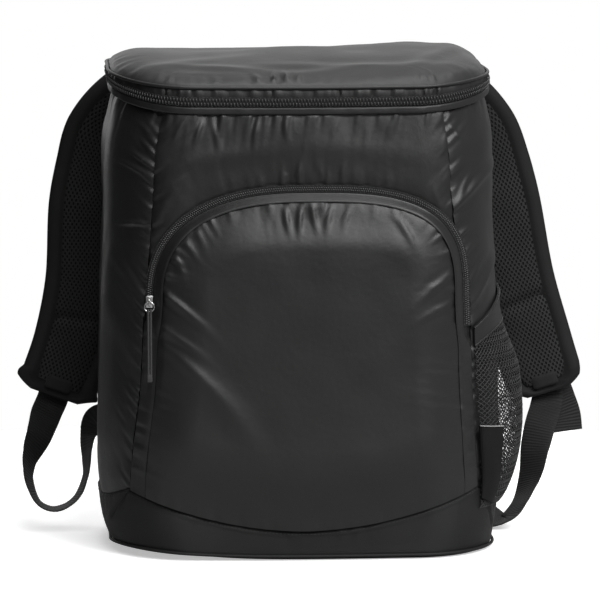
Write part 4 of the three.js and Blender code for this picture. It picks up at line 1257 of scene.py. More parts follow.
stitches("lid_zip_stitches_low", on_tape(-3.0 * MM), ["lid_zip_tape"])
stitches("lid_zip_stitches_high", on_tape(3.0 * MM), ["lid_zip_tape"])


def under_base_seam(stand):
    return skin(round_columns, base_seam(round_columns) - 2.4 * MM, 0.5 * MM + stand)


stitches("base_stitches", under_base_seam, ["base"])

# %% [markdown]
# ## Front pocket
# The pocket stands out of the front under its arched zip. A smooth strip follows the zip, then a seam,
# then the big puffed cloth, drawn into short pinched folds at the top of the arch and along its legs.
# The cloth is cut as an even net of triangles inside its border line, so that puckers can run any way.

# %% Zip tape, coil and gusset of the pocket
LEG_BLEND = 26 * MM
LEG_NARROW = 0.25
LEG_FOOT = 45 * MM
LEG_HOLLOW = 3.4 * MM
HOLLOW_HEIGHT = 152 * MM
HOLLOW_REACH = 26 * MM
GUSSET_WIDTH = 6.4 * MM
GUSSET_RISE = 4.6 * MM
ZIP_RUN_DOWN = 20 * MM
zip_first = int(np.argmax(edge_line[:, 1] >= POCKET_SHOULDER))
zip_last = int(len(edge_line) - 1 - np.argmax(edge_line[::-1, 1] >= POCKET_SHOULDER - ZIP_RUN_DOWN))


leg_share = smooth((POCKET_SHOULDER - ZIP_RUN_DOWN / 2 - edge_line[:, 1]) / LEG_BLEND)
gusset_width = GUSSET_WIDTH * (1 - LEG_NARROW * leg_share)


tape_end = np.where(edge_length < edge_length[-1] / 2, POCKET_SHOULDER, POCKET_SHOULDER - ZIP_RUN_DOWN)
leg_open = smooth((tape_end - edge_line[:, 1] - 4 * MM) / (14 * MM))
gusset_from = mix(POCKET_TAPE / 2 + SEAM_GAP, SEAM_GAP - POCKET_TAPE / 2, leg_open)
gusset_width = gusset_width + POCKET_TAPE / 2 + SEAM_GAP - gusset_from
leg_foot = smooth((edge_line[:, 1] - BASE_SEAM_CORNER) / LEG_FOOT)
leg_relief = mix(1.0, 0.5, leg_share) * mix(0.35, 1.0, leg_foot)


def leg_puckers(length, inside):
    """Small level folds of the legs, which run on over the seam between strip and cloth."""
    leg = np.interp(length, edge_length, leg_share * leg_relief)
    height = np.interp(length, edge_length, edge_line[:, 1])
    hollow = LEG_HOLLOW * np.exp(-((height - HOLLOW_HEIGHT) / HOLLOW_REACH) ** 2)
    hollow = hollow * (length < edge_length[-1] / 2)
    hollow = hollow * np.exp(-((inside - 5.5 * MM) / (5 * MM)) ** 4)
    return leg * 1.2 * MM * gathers(length, np.maximum(inside, 0), 8 * MM, 15 * MM, 82, 0.25) - hollow


def foot_height(x):
    """Height of the pocket's lower end, just over the scooped seam."""
    share = np.clip(np.abs(x) / SCOOP_REACH, 0, 1) ** SCOOP_POWER
    return mix(BASE_SEAM_FRONT, BASE_SEAM_CORNER, share) + SEAM_GAP


def edge_strip(first, last, ways, stands, thickness):
    """Outer and inner grids of a strip along the pocket's edge, one row for each way inward."""
    outer = []
    inner = []
    for way, stand in zip(ways, stands):
        line = edge_line[first:last + 1] + edge_inward[first:last + 1] * np.atleast_1d(way)[:, None]
        low = 1 - smooth((line[:, 1] - BASE_SEAM_CORNER) / (14 * MM))
        line[:, 1] -= (BASE_SEAM_CORNER - foot_height(line[:, 0])) * low
        outer.append(front_point(line[:, 0], line[:, 1], stand + thickness))
        inner.append(front_point(line[:, 0], line[:, 1], stand))
    return np.array(outer), np.array(inner)


def strip_piece(name, first, last, ways, stands, thickness, material, nodes):
    outer, inner = edge_strip(first, last, ways, stands, thickness)
    across = np.array([np.broadcast_to(way, last + 1 - first) for way in ways])
    uv = flat_map(edge_length[None, first:last + 1], across)
    return finish_piece(wall(name, outer, inner, material, uv), nodes)


tape_ways = np.linspace(-POCKET_TAPE / 2, POCKET_TAPE / 2, 7)
strip_piece("pocket_zip_tape_cloth", zip_first, zip_last, tape_ways, np.full(7, SKIN_GAP), TAPE_THICKNESS,
            zip_tape, ["pocket_zip_tape"])
gusset_share = np.linspace(0, 1, 11)[:, None]
gusset_ways = gusset_from + gusset_width * gusset_share
gusset_rise = SKIN_GAP + GUSSET_RISE * smooth(gusset_share) * leg_relief
gusset_puff = mix(0.5, 1.0, leg_share) * leg_relief * MM * np.sin(gusset_share * math.pi)
gusset_soft = 0.25 * MM * flat_lumps(edge_length[None, :], gusset_ways, 12 * MM, 81)
gusset_stand = gusset_rise + gusset_puff + gusset_soft + leg_puckers(edge_length[None, :], gusset_ways)
strip_piece("pocket_gusset_cloth", 0, len(edge_line) - 1, gusset_ways, np.maximum(gusset_stand, SKIN_GAP),
            CLOTH, body_nylon, ["pocket_gusset"])
teeth_line = front_point(edge_line[zip_first:zip_last, 0], edge_line[zip_first:zip_last, 1], COIL_STAND)
teeth_far = front_point(edge_line[zip_first:zip_last, 0], edge_line[zip_first:zip_last, 1], COIL_STAND + MM)
pocket_coil = beads("pocket_zip_coil_teeth", [teeth_line], [outward(teeth_line, teeth_far)], 0.8 * MM,
                    (0.75 * MM, 1.7 * MM, 1.1 * MM), pocket_teeth_and_highlight, offset=0.75 * MM, lift=0.6 * MM,
                    turns=1.0, slant=0.2)
finish_piece(pocket_coil, ["pocket_zip_coil"])


def beside_zip(way):
    line = (edge_line + edge_inward * way)[zip_first:zip_last]
    return lambda stand: front_point(line[:, 0], line[:, 1], SKIN_GAP + TAPE_THICKNESS + stand)


stitches("pocket_zip_stitches_out", beside_zip(-2.3 * MM), ["pocket_zip_tape"])
stitches("pocket_zip_stitches_in", beside_zip(2.3 * MM), ["pocket_zip_tape"])


# %% Even triangles inside a border
def patch(border, spacing):
    """Points and triangles of an even net inside a closed border; the border's points come first."""
    low = border.min(axis=0)
    high = border.max(axis=0)
    rise = spacing * math.sqrt(3) / 2
    zs = np.arange(low[1], high[1], rise)
    inner = []
    for row, z in enumerate(zs):
        xs = np.arange(low[0] + (row % 2) * spacing / 2, high[0], spacing)
        inner.append(np.stack([xs, np.full(len(xs), z)], axis=1))
    points = np.concatenate(inner)
    following = np.roll(border, -1, axis=0)
    crossed = np.zeros(len(points), bool)
    gap = np.full(len(points), np.inf)
    for a, b in zip(border, following):
        hit = (a[1] > points[:, 1]) != (b[1] > points[:, 1])
        rise_between = b[1] - a[1] if b[1] != a[1] else 1e-12
        at = a[0] + (points[:, 1] - a[1]) / rise_between * (b[0] - a[0])
        crossed ^= hit & (points[:, 0] < at)
        gap = np.minimum(gap, ((points - a) ** 2).sum(axis=1))
    points = points[crossed & (gap > (0.6 * spacing) ** 2)]
    every = np.concatenate([border, points])
    count = len(border)
    edges = [(i, (i + 1) % count) for i in range(count)]
    result = delaunay_2d_cdt([Vector(p) for p in every], edges, [list(range(count))], 1, 1e-7)
    return np.array([tuple(v) for v in result[0]]), np.array(result[2])


# %% Pocket panel
FOOT_STAND = 1.6 * MM
POCKET_PUFF = 12 * MM
PATCH_STEP = 1.9 * MM
gusset_inner = gusset_from + gusset_width + SEAM_GAP
rim_line = edge_line + edge_inward * gusset_inner[:, None]
left_x = rim_line[0, 0]
right_x = rim_line[-1, 0]
foot_x = np.arange(right_x, left_x, -PATCH_STEP)[1:]


rim_line = rim_line[(rim_line[:, 1] > foot_height(rim_line[:, 0]) + PATCH_STEP / 2)]
corner_left = np.array([[left_x, foot_height(left_x)]])
corner_right = np.array([[right_x, foot_height(right_x)]])
foot_line = np.stack([foot_x, foot_height(foot_x)], axis=1)
pocket_border = np.concatenate([corner_left, rim_line, corner_right, foot_line])
net_points, net_faces = patch(pocket_border, PATCH_STEP)
print("pocket net:", len(net_points), "points,", len(net_faces), "triangles")

# %% Height of the pocket's cloth
POCKET_FOLDS = [
    (-96, 228, -62, 14, 3.2, 1.6),
    (-90, 241, -50, 14, 3.2, 1.5),
    (-80, 247, -60, 11, 3.0, 1.2),
    (-14, 256, 97, 9, 2.6, 1.9),
    (-4, 256, 84, 10, 2.6, 1.9),
    (6, 257, 98, 9, 2.6, 1.5),
    (17, 256, 78, 9, 2.8, 1.4),
    (30, 256, 70, 8, 3.0, 0.9),
    (-104, 200, -32, 18, 3.4, 1.6),
    (-92, 190, -36, 24, 4.4, 1.7),
    (-96, 168, -30, 22, 4.0, 1.4),
    (-86, 146, -40, 30, 5.5, 1.3),
    (-60, 120, -52, 46, 12, 1.4),
    (99, 206, 35, 18, 4, 1.2),
    (101, 188, 22, 16, 3.6, 1.1),
    (74, 246, -58, 13, 3.4, 1.0),
    (60, 150, 60, 60, 16, 1.2),
]


def pocket_stand(points):
    x = points[:, 0]
    z = points[:, 1]
    length, from_edge = edge_distance(x, z)
    inside = from_edge - np.interp(length, edge_length, gusset_inner)
    leg = np.interp(length, edge_length, leg_share)
    foot = z - foot_height(x)
    share_side = smooth(inside / (34 * MM)) ** 0.8
    share_foot = smooth(foot / (60 * MM)) ** 0.8
    side_rise = SKIN_GAP + GUSSET_RISE * np.interp(length, edge_length, leg_relief)
    rim_stand = mix(FOOT_STAND, side_rise, smooth(foot / (40 * MM)))
    stand = rim_stand + (POCKET_PUFF - rim_stand) * np.minimum(share_side, 1) * share_foot
    uneven = 0.55 + 0.45 * flat_lumps(length, 0 * length, 60 * MM, 92)
    arch = 1.0 * MM * gathers(length, inside, 8 * MM, 9 * MM, 91) * uneven
    stand += arch * (1 - leg) + leg_puckers(length, from_edge)
    stand += 0.4 * MM * gathers(x, foot, 12 * MM, 8 * MM, 93)
    stand += folds(x, z, POCKET_FOLDS) * smooth(inside / (3 * MM))
    flat = np.stack([x, z, 0 * x], axis=1)
    broad = 1.3 * MM * lumps(flat, 70 * MM, 94) * smooth(inside / (15 * MM))
    stand += broad + 0.35 * MM * lumps(flat, 24 * MM, 95)
    stand += dip(inside, mix(1.0, 0.3, leg) * MM, 2.5 * MM) + dip(foot, 0.6 * MM, 3 * MM)
    return np.maximum(stand, 0.3 * MM)


def patch_piece(name, points, triangles, border_count, stands, thickness, material):
    outer = front_point(points[:, 0], points[:, 1], stands + thickness)
    inner = front_point(points[:, 0], points[:, 1], np.maximum(stands, 0.3 * MM))
    count = len(points)
    around = np.arange(border_count)
    following = np.roll(around, -1)
    faces = triangles.tolist() + (triangles[:, ::-1] + count).tolist()
    faces += np.stack([following, around, around + count, following + count], axis=1).tolist()
    return closed(name, np.concatenate([outer, inner]), faces, material, np.concatenate([points, points]))


pocket = patch_piece("pocket_panel_cloth", net_points, net_faces, len(pocket_border),
                     pocket_stand(net_points), CLOTH, body_nylon)
finish_piece(pocket, ["pocket_panel"])

# %% [markdown]
# ## Zip slider and pull
# A small nickel slider sits at the left end of the pocket zip. A wire ring hangs from it, and a black
# textile pull is looped through the ring. The slider is a bevelled body with a raised bridge, and the
# pull two cords that meet in a flat end.

# %% Hardware
SLIDER_LENGTH = 9 * MM
SLIDER_WIDTH = 5.2 * MM
RING_RADIUS = 3.6 * MM
RING_WIRE = 0.6 * MM
PULL_LENGTH = 52 * MM
PULL_WIDTH = 3.8 * MM
PULL_CORD = 0.8 * MM
PULL_LEAN = 0.1
seat = COIL_STAND + COIL_THICKNESS + 2 * SKIN_GAP
slider_edge = edge_line[zip_first]
slider_point = Vector(front_point(slider_edge[0], slider_edge[1], seat))
slider_under = Vector(front_point(slider_edge[0], slider_edge[1], 0.0))
slider_out = slider_point - slider_under
slider_turn = math.atan2(slider_out.y, slider_out.x)
hardware_place = Matrix.Translation(slider_point) @ Matrix.Rotation(slider_turn, 4, "Z")
EYE_X = 1.2 * MM + RING_WIRE + 0.3 * MM


def extruded(outline_points, width, bevel):
    """A shape in the X and Z plane, made as thick as width along Y, with bevelled edges."""
    work = bmesh.new()
    ring = [work.verts.new((x, -width / 2, z)) for x, z in outline_points]
    face = work.faces.new(ring)
    made = bmesh.ops.extrude_face_region(work, geom=[face])
    moved = [v for v in made["geom"] if isinstance(v, bmesh.types.BMVert)]
    bmesh.ops.translate(work, verts=moved, vec=(0, width, 0))
    bmesh.ops.recalc_face_normals(work, faces=work.faces)
    bmesh.ops.bevel(work, geom=list(work.edges), offset=bevel, segments=2, affect="EDGES", profile=0.5)
    mesh = bpy.data.meshes.new("part")
    work.to_mesh(mesh)
    work.free()
    return mesh


def joined(name, meshes, material, place):
    work = bmesh.new()
    for mesh in meshes:
        work.from_mesh(mesh)
    bmesh.ops.transform(work, matrix=place, verts=work.verts)
    result = bpy.data.meshes.new(name)
    work.to_mesh(result)
    work.free()
    result.shade_smooth()
    result.set_sharp_from_angle(angle=CREASE)
    return link(name, result, material)


PLATE_HEIGHT = 1.2 * MM
half_length = SLIDER_LENGTH / 2
plate_shape = [(0, -half_length), (PLATE_HEIGHT, -half_length),
               (PLATE_HEIGHT, half_length), (0, half_length)]
plate = extruded(plate_shape, SLIDER_WIDTH, 0.3 * MM)
bridge_top = EYE_X + RING_WIRE + 1.2 * MM
bridge_foot = 1.0 * MM
bridge_under = bridge_top - 0.9 * MM
bridge_shape = [(bridge_foot, -0.8), (bridge_top, -0.55), (bridge_top, 0.35), (bridge_foot, 0.8),
                (bridge_foot, 0.45), (bridge_under, 0.2), (bridge_under, -0.4), (bridge_foot, -0.5)]
bridge = extruded([(x, half_length * share) for x, share in bridge_shape], 1.6 * MM, 0.2 * MM)
slider = joined("zip_slider_body", [plate, bridge], nickel, hardware_place)
finish_piece(slider, ["zip_slider"])


# %% Ring and pull
def torus(radius, wire, around=28, sides=10):
    turn = np.linspace(0, 4 * QUARTER, around, endpoint=False)[:, None]
    side = np.linspace(0, 4 * QUARTER, sides, endpoint=False)[None, :]
    reach = radius + wire * np.cos(side)
    parts = np.broadcast_arrays(wire * np.sin(side), reach * np.sin(turn), -reach * np.cos(turn))
    return np.stack(parts, axis=-1)


def rings_mesh(points, loop):
    steps, around = points.shape[:2]
    faces = []
    for step in range(steps if loop else steps - 1):
        for side in range(around):
            a = step * around + side
            b = step * around + (side + 1) % around
            c = ((step + 1) % steps) * around + (side + 1) % around
            d = ((step + 1) % steps) * around + side
            faces.append((a, b, c, d))
    if not loop:
        faces.append(tuple(range(around))[::-1])
        faces.append(tuple((steps - 1) * around + i for i in range(around)))
    mesh = bpy.data.meshes.new("part")
    mesh.from_pydata(points.reshape(-1, 3), [], faces)
    work = bmesh.new()
    work.from_mesh(mesh)
    bmesh.ops.recalc_face_normals(work, faces=work.faces)
    work.to_mesh(mesh)
    work.free()
    return mesh


ring_points = torus(RING_RADIUS, RING_WIRE) + np.array([EYE_X, 0, -RING_RADIUS])
ring = joined("zip_ring_wire", [rings_mesh(ring_points, True)], nickel, hardware_place)
finish_piece(ring, ["zip_ring"])


def cord_points(centre, radius, sides=10, twist=0.0):
    """Rings of a cord in the X and Z plane whose outline is lightly twisted like its strands."""
    along = np.gradient(centre, axis=0)
    along /= np.linalg.norm(along, axis=1)[:, None]
    across = np.array([0, 1.0, 0])
    out = np.cross(along, across)
    length = run_length(centre)
    angle = np.linspace(0, 4 * QUARTER, sides, endpoint=False)[None, :]
    swelling = radius * (1 + 0.12 * np.cos(2 * (angle - twist * length[:, None])))
    ring = out[:, None] * np.cos(angle)[..., None] + across * np.sin(angle)[..., None]
    return centre[:, None] + ring * swelling[..., None]


pull_top = -2 * RING_RADIUS
bend = RING_WIRE + 0.3 * MM + PULL_CORD / 2
arc = np.linspace(0, 2 * QUARTER, 14)
down = np.linspace(0, 1, 40)[1:, None]
loop_x = bend * np.cos(arc)
loop_z = bend * np.sin(arc)
top_arc = np.stack([loop_x, 0 * arc, loop_z], axis=1)
foot_point = np.array([0.45 * PULL_CORD, 0, -PULL_LENGTH + 3 * MM])
front_leg = mix(top_arc[0], foot_point, down)
back_leg = mix(top_arc[-1], foot_point * np.array([-1, 1, 1]), down)
pull_line = np.concatenate([front_leg[::-1], top_arc, back_leg])
pull_meshes = []
for side in (-1, 1):
    offset = np.array([0, side * PULL_WIDTH / 4, 0])
    strand = cord_points(pull_line + offset, PULL_CORD * 1.1, twist=side * 1.2 / MM)
    pull_meshes.append(rings_mesh(strand, False))
TIP_LOW = 1.1 * MM
TIP_HIGH = 1.2 * MM
tip_top = -PULL_LENGTH + 6 * MM
tip_shape = [(-TIP_LOW, -PULL_LENGTH), (TIP_LOW, -PULL_LENGTH), (TIP_HIGH, tip_top), (-TIP_HIGH, tip_top)]
tip = extruded(tip_shape, PULL_WIDTH, 0.5 * MM)
pull_place = hardware_place @ Matrix.Translation((EYE_X, 0, pull_top)) @ Matrix.Rotation(-PULL_LEAN, 4, "Y")
pull = joined("zip_pull_cord", pull_meshes + [tip], pull_cord, pull_place)
finish_piece(pull, ["zip_pull"])

# %% [markdown]
# ## Net pocket and label
# The right side has an open pocket of knitted net under a smooth band. The net hangs a little full, so
# light shows through it at the outline. Real strands are needed for that: two families of slanting
# lines over the pocket's surface, each line given a thickness by Geometry Nodes.

# %% Surface of the side pocket
MESH_FOOT = 34 * MM
MOUTH_FRONT = 171 * MM
MOUTH_SIDE = 196 * MM
MESH_BAND_FRONT = 14 * MM
MESH_BAND_SIDE = 24 * MM
MESH_BULGE = 17 * MM
MOUTH_SHARE = 0.05
MESH_THICKNESS = 1.5 * MM
MESH_FROM = FRONT_SEAM + 0.03
MESH_TO = 3.9


def mesh_across(column):
    return np.clip((column - MESH_FROM) / (MESH_TO - MESH_FROM), 0, 1)


def mouth_at(column):
    return mix(MOUTH_FRONT, MOUTH_SIDE, np.sin(np.clip(mesh_across(column) / 0.7, 0, 1) * QUARTER))


def band_at(column):
    return mix(MESH_BAND_FRONT, MESH_BAND_SIDE, smooth(mesh_across(column) / 0.7))


def mesh_stand(column, up):
    side = np.sin(math.pi * mesh_across(column)) ** 0.6
    height = np.sin(math.pi * np.clip(up, 0, 1) ** 0.85) ** 0.75
    return SKIN_GAP + MESH_BULGE * side * mix(height, MOUTH_SHARE, smooth((up - 0.62) / 0.36))


def mesh_point(column, height, extra=0.0):
    up = (height - MESH_FOOT) / (mouth_at(column) - MESH_FOOT)
    return skin(column, height, mesh_stand(column, up) + extra)


mesh_columns, mesh_length = columns_between(MESH_FROM, MESH_TO, 1.5 * MM)


def mesh_wall(name, low, high, rows, thickness, material, field=0.0):
    share = np.linspace(0, 1, rows)[:, None]
    height = mix(low(mesh_columns)[None, :], high(mesh_columns)[None, :], share)
    outer = mesh_point(mesh_columns[None, :], height, thickness + field)
    inner = mesh_point(mesh_columns[None, :], height, 0.0 * height)
    uv = flat_map(mesh_length[None, :], height)
    return wall(name, outer, inner, material, uv)


band_piece = mesh_wall("mesh_pocket_band_cloth", lambda c: mouth_at(c) - band_at(c), mouth_at, 14,
                       MESH_THICKNESS, body_nylon)
finish_piece(band_piece, ["mesh_pocket_band"])


# %% Net strands
def strand_tree():
    graph = Graph("strands", {"Radius": "Float", "Sides": "Int", "Finish": "Material"})
    given = graph.given
    line = graph.node("GeometryNodeMeshToCurve", sockets={0: given["Geometry"]})
    section = graph.node("GeometryNodeCurvePrimitiveCircle", sockets={
        "Resolution": given["Sides"], "Radius": given["Radius"]})
    body = graph.node("GeometryNodeCurveToMesh", sockets={
        "Curve": line, "Profile Curve": section, "Fill Caps": True})
    return graph.end(body, given["Finish"])


strands_tree = strand_tree()
NET_PITCH = 2.5 * MM
NET_RADIUS = 0.42 * MM


def net_lines():
    """Slanting lines over the net, in its own flat map: along the girth and up."""
    wide = mesh_length[-1]
    tall = MOUTH_SIDE - MESH_FOOT
    lines = []
    for slope in (-1, 1):
        starts = np.arange(-tall, wide + tall, NET_PITCH * math.sqrt(2))
        for start in starts:
            up = np.arange(0, tall + 1e-9, NET_PITCH / 2)
            along = start + slope * up + (tall if slope < 0 else 0)
            column = np.interp(along, mesh_length, mesh_columns)
            top = mouth_at(column) - band_at(column) + 1 * MM
            height = MESH_FOOT + up
            inside = (along > 0) & (along < wide) & (height < top)
            if inside.sum() < 2:
                continue
            weft = slope * 0.25 * MM * np.sign(np.sin(up / NET_PITCH * math.pi * 2))
            point = mesh_point(column, height, MESH_THICKNESS / 2 + weft)
            runs = np.split(np.arange(len(up)), np.where(np.diff(inside.astype(int)) != 0)[0] + 1)
            lines += [point[run] for run in runs if inside[run[0]] and len(run) > 1]
    return lines


band_top = mesh_point(mesh_columns, mouth_at(mesh_columns) - 0.9 * MM, MESH_THICKNESS)
band_foot = mesh_point(mesh_columns, mouth_at(mesh_columns) - band_at(mesh_columns), MESH_THICKNESS)
for edge_name, band_edge in (("mesh_pocket_band_edge", band_top), ("mesh_pocket_band_hem", band_foot)):
    edging = grow(edge_name, line_object([band_edge], [band_edge * 0]), strands_tree,
                  {"Radius": 0.7 * MM, "Sides": 8, "Finish": body_nylon})
    finish_piece(edging, ["mesh_pocket_band"])
strands = net_lines()
net = grow("mesh_pocket_net", line_object(strands, [np.zeros_like(s) for s in strands]), strands_tree,
           {"Radius": NET_RADIUS, "Sides": 4, "Finish": net_yarn})
finish_piece(net, ["mesh_pocket"])

# %% Bare label
LABEL_HEIGHT = 55 * MM
LABEL_WIDTH = 14 * MM
LABEL_FOOT = 42 * MM
LABEL_THICKNESS = 0.9 * MM
LABEL_LEAN = 6 * MM
LABEL_TOP_LEAN = 0.2
zone_length = np.linalg.norm(skin(FRONT_SEAM, LABEL_FOOT) - skin(FRONT_SEAM + 1, LABEL_FOOT))


def label():
    up = np.linspace(0, 1, 40)[:, None]
    share = np.linspace(0, 1, 16)[None, :]
    height = LABEL_FOOT + LABEL_HEIGHT * up - LABEL_LEAN * share * mix(1.0, LABEL_TOP_LEAN, up)
    column = MESH_FROM + LABEL_WIDTH * share / zone_length + 0 * up
    curl = 0.6 * MM * np.sin(share * 3 + up * 4) * share
    outer = mesh_point(column, height, MESH_THICKNESS + SKIN_GAP + LABEL_THICKNESS + curl)
    inner = mesh_point(column, height, MESH_THICKNESS + SKIN_GAP + curl)
    uv = flat_map(share * LABEL_WIDTH, up * LABEL_HEIGHT)
    return wall("side_label_ribbon", outer, inner, label_ribbon, uv)


finish_piece(label(), ["side_label"])
# A raised strand on the label's top fold; its pale tone is a painted highlight of the fold.
hem_share = np.linspace(0, 1, 20)
hem_column = MESH_FROM + LABEL_WIDTH * hem_share / zone_length
hem_height = LABEL_FOOT + LABEL_HEIGHT - LABEL_LEAN * LABEL_TOP_LEAN * hem_share
fold_highlight_line = mesh_point(hem_column, hem_height, MESH_THICKNESS + 1.9 * MM)
fold_highlight = grow("side_label_fold_highlight", line_object([fold_highlight_line], [fold_highlight_line * 0]), strands_tree,
           {"Radius": 0.45 * MM, "Sides": 8, "Finish": painted_fold_highlight})
finish_piece(fold_highlight, ["side_label"])

# %% [markdown]
# ## Shoulder straps
# Each strap is a padded shell with a smooth border, and a face of thick air mesh that looks to the
# front. It is swept along the same path as the solids. Real holes would need millions of faces, so the
# material works them out from two slanting families of waves in the cloth's own lengths, as a bump and
# as dark spots of painted shade.

# %% Paths
STRAP_REACH = 32 * MM
BACK_PLANE = 0.5 * BAG_DEPTH
PAD_WIDTH = 61 * MM
PAD_THICKNESS = 11 * MM
PAD_BORDER = 11 * MM
LEFT_END_WIDER = 0.16
# Each row: how far out on the left and on the right, how far back, how high, and the share of the width.
PAD_PATH = [
    (0.318, 0.318, 0.160, 0.855, 0.82),
    (0.464, 0.464, 0.300, 0.902, 0.84),
    (0.649, 0.662, 0.550, 0.912, 0.86),
    (0.822, 0.850, 0.800, 0.872, 0.90),
    (0.946, 0.980, 0.930, 0.806, 0.97),
    (0.988, 1.040, 0.950, 0.735, 1.00),
    (1.023, 1.088, 0.890, 0.659, 1.00),
    (1.044, 1.160, 0.780, 0.500, 1.00),
    (1.106, 1.245, 0.640, 0.376, 1.00),
    (1.165, 1.295, 0.540, 0.306, 1.00),
    (1.190, 1.315, 0.510, 0.281, 0.95),
    (1.205, 1.327, 0.490, 0.264, 0.72),
]


def smooth_path(points, steps):
    """A centripetal curve through points, at even shares of its rows, with its directions."""
    points = np.asarray(points, float)
    before = 2 * points[0] - points[1]
    after = 2 * points[-1] - points[-2]
    padded_points = np.concatenate([[before], points, [after]])
    share = np.linspace(0, 1, steps + 1) * (len(points) - 1)
    row = np.minimum(share.astype(int), len(points) - 2)
    t = (share - row)[:, None]
    p0, p1, p2, p3 = (padded_points[row + i] for i in range(4))
    chords = ((p0, p1), (p1, p2), (p2, p3))
    d0, d1, d2 = (np.sqrt(np.linalg.norm(b - a, axis=1))[:, None] for a, b in chords)
    m1 = ((p1 - p0) / d0 - (p2 - p0) / (d0 + d1) + (p2 - p1) / d1) * d1
    m2 = ((p2 - p1) / d1 - (p3 - p1) / (d1 + d2) + (p3 - p2) / d2) * d1
    square = -3 * p1 + 3 * p2 - 2 * m1 - m2
    cube = 2 * p1 - 2 * p2 + m1 + m2
    place_at = p1 + m1 * t + square * t ** 2 + cube * t ** 3
    heading = m1 + 2 * square * t + 3 * cube * t ** 2
    return place_at, heading / np.linalg.norm(heading, axis=1)[:, None], share / (len(points) - 1)


def path_points(out, rear, up):
    return np.stack([out * BAG_WIDTH / 2, BACK_PLANE + rear * STRAP_REACH, up * BAG_HEIGHT], axis=1)


def pad_line(sign, steps):
    rows = np.array(PAD_PATH)
    out = sign * rows[:, 0 if sign < 0 else 1]
    centre, along, share = smooth_path(path_points(out, rows[:, 2], rows[:, 3]), steps)
    face = np.array([0, -1.0, 0]) + along * along[:, 1:2]
    face /= np.linalg.norm(face, axis=1)[:, None]
    across = np.cross(along, face)
    across /= np.linalg.norm(across, axis=1)[:, None]
    at = share * (len(rows) - 1)
    wide = np.interp(at, np.arange(len(rows)), rows[:, 4])
    if sign < 0:
        wide = wide * (1 + LEFT_END_WIDER * smooth(at - len(rows) + 3))
    length = run_length(centre)
    return centre, across, face, PAD_WIDTH / 2 * wide, length


def on_line(line, across_by, out_by):
    centre, across, face = line[:3]
    return centre[:, None] + across[:, None] * across_by[..., None] + face[:, None] * out_by[..., None]


# %% Pad shells
SHELL_STEPS = 300
SHELL_GIRTH = 150 * MM
CHANNEL_DEPTH = 2.8 * MM
CHANNEL_SOFT = 2.5 * MM
LIP_HEIGHT = 0.8 * MM
LIP_WIDTH = 3.5 * MM
END_ROUND = 12 * MM
SHELL_WRINKLE = 0.35 * MM


def shell_profile(half, around=44):
    """Across and out for each ring: a rounded slab with a raised border and a channel for the mesh."""
    angle = np.linspace(0, 4 * QUARTER, around, endpoint=False)[None, :]
    half = half[:, None]
    thick = PAD_THICKNESS / 2
    a = half * np.sign(np.cos(angle)) * np.abs(np.cos(angle)) ** 0.45
    b = thick * np.sign(np.sin(angle)) * np.abs(np.sin(angle)) ** 0.5
    inside = (half - PAD_BORDER - np.abs(a)) / CHANNEL_SOFT
    channel = smooth(inside) * CHANNEL_DEPTH
    b = np.where(b > 0, b - channel, b)
    lip = LIP_HEIGHT * np.exp(-((half - np.abs(a) - PAD_BORDER * 0.45) / LIP_WIDTH) ** 2)
    return a, np.where(b > 0, b + lip, b)


def shell(name, sign):
    line = pad_line(sign, SHELL_STEPS)
    centre, across, face, half, length = line
    from_end = length[-1] - length
    closing = np.sqrt(np.clip(from_end / END_ROUND, 0.02, 1))
    half = half * mix(0.75, 1.0, smooth(closing))
    a, b = shell_profile(half)
    b = b * np.sqrt(closing)[:, None]
    ends = smooth(length / (8 * MM) + 0.3)
    b = b * ends[:, None]
    points = on_line((centre, across, face), a, b)
    wrinkle = SHELL_WRINKLE * lumps(points, 16 * MM, 101 if sign < 0 else 102)
    points = points + face[:, None] * wrinkle[..., None]
    uv = flat_map(length[:, None], np.linspace(0, SHELL_GIRTH, a.shape[1] + 1)[None, :])
    piece = tube(name + "_cloth", points, pad_binding, uv)
    return finish_piece(piece, [name])


shell("strap_shell_left", -1)
shell("strap_shell_right", 1)

# %% Air mesh faces
AIR_STEPS = 240
AIR_SHORTER = 9 * MM
AIR_ROUND = 14 * MM
AIR_CROWN = 1.7 * MM
AIR_SUNK = 1.8 * MM
AIR_EDGE = 3.4 * MM
AIR_BACK = 4.4 * MM
CREASE_LEFT = 158 * MM
CREASE_RIGHT = 168 * MM
CREASE_DEEP = 2.2 * MM
CREASE_SOFT = 3 * MM


def air_face(name, sign):
    centre, across, face, half, length = pad_line(sign, AIR_STEPS)
    keep = length < length[-1] - AIR_SHORTER
    centre, across, face, half, length = (part[keep] for part in (centre, across, face, half, length))
    closing = np.sqrt(np.clip((length[-1] + 3 * MM - length) / AIR_ROUND, 0.05, 1))
    reach = (half - PAD_BORDER + 0.8 * MM) * mix(0.55, 1.0, closing)
    share = np.linspace(-1, 1, 34)[None, :]
    a = reach[:, None] * share
    crease = CREASE_LEFT if sign < 0 else CREASE_RIGHT
    height = centre[:, 2][:, None] + 0.12 * a
    folded = CREASE_DEEP * np.exp(-((height - crease) / CREASE_SOFT) ** 2)
    crown = AIR_CROWN * (1 - np.abs(share) ** 4) - folded
    b = PAD_THICKNESS / 2 - AIR_SUNK + crown + 0.6 * MM * flat_lumps(length[:, None], a, 20 * MM, 103)
    b = np.where(np.abs(share) > 0.975, PAD_THICKNESS / 2 - AIR_EDGE, b)
    outer = on_line((centre, across, face), a, b)
    inner = on_line((centre, across, face), a, 0 * a + PAD_THICKNESS / 2 - AIR_BACK)
    uv = flat_map(length[:, None], a)
    piece = wall(name + "_face", outer, inner, air_mesh, uv, coarse=3)
    return finish_piece(piece, [name])


air_face("strap_mesh_left", -1)
air_face("strap_mesh_right", 1)

# %% Patches
PATCH_FROM = 0.83
PATCH_TO = 0.93
PATCH_WIDTH = 20 * MM
PATCH_PUFF = 1.1 * MM


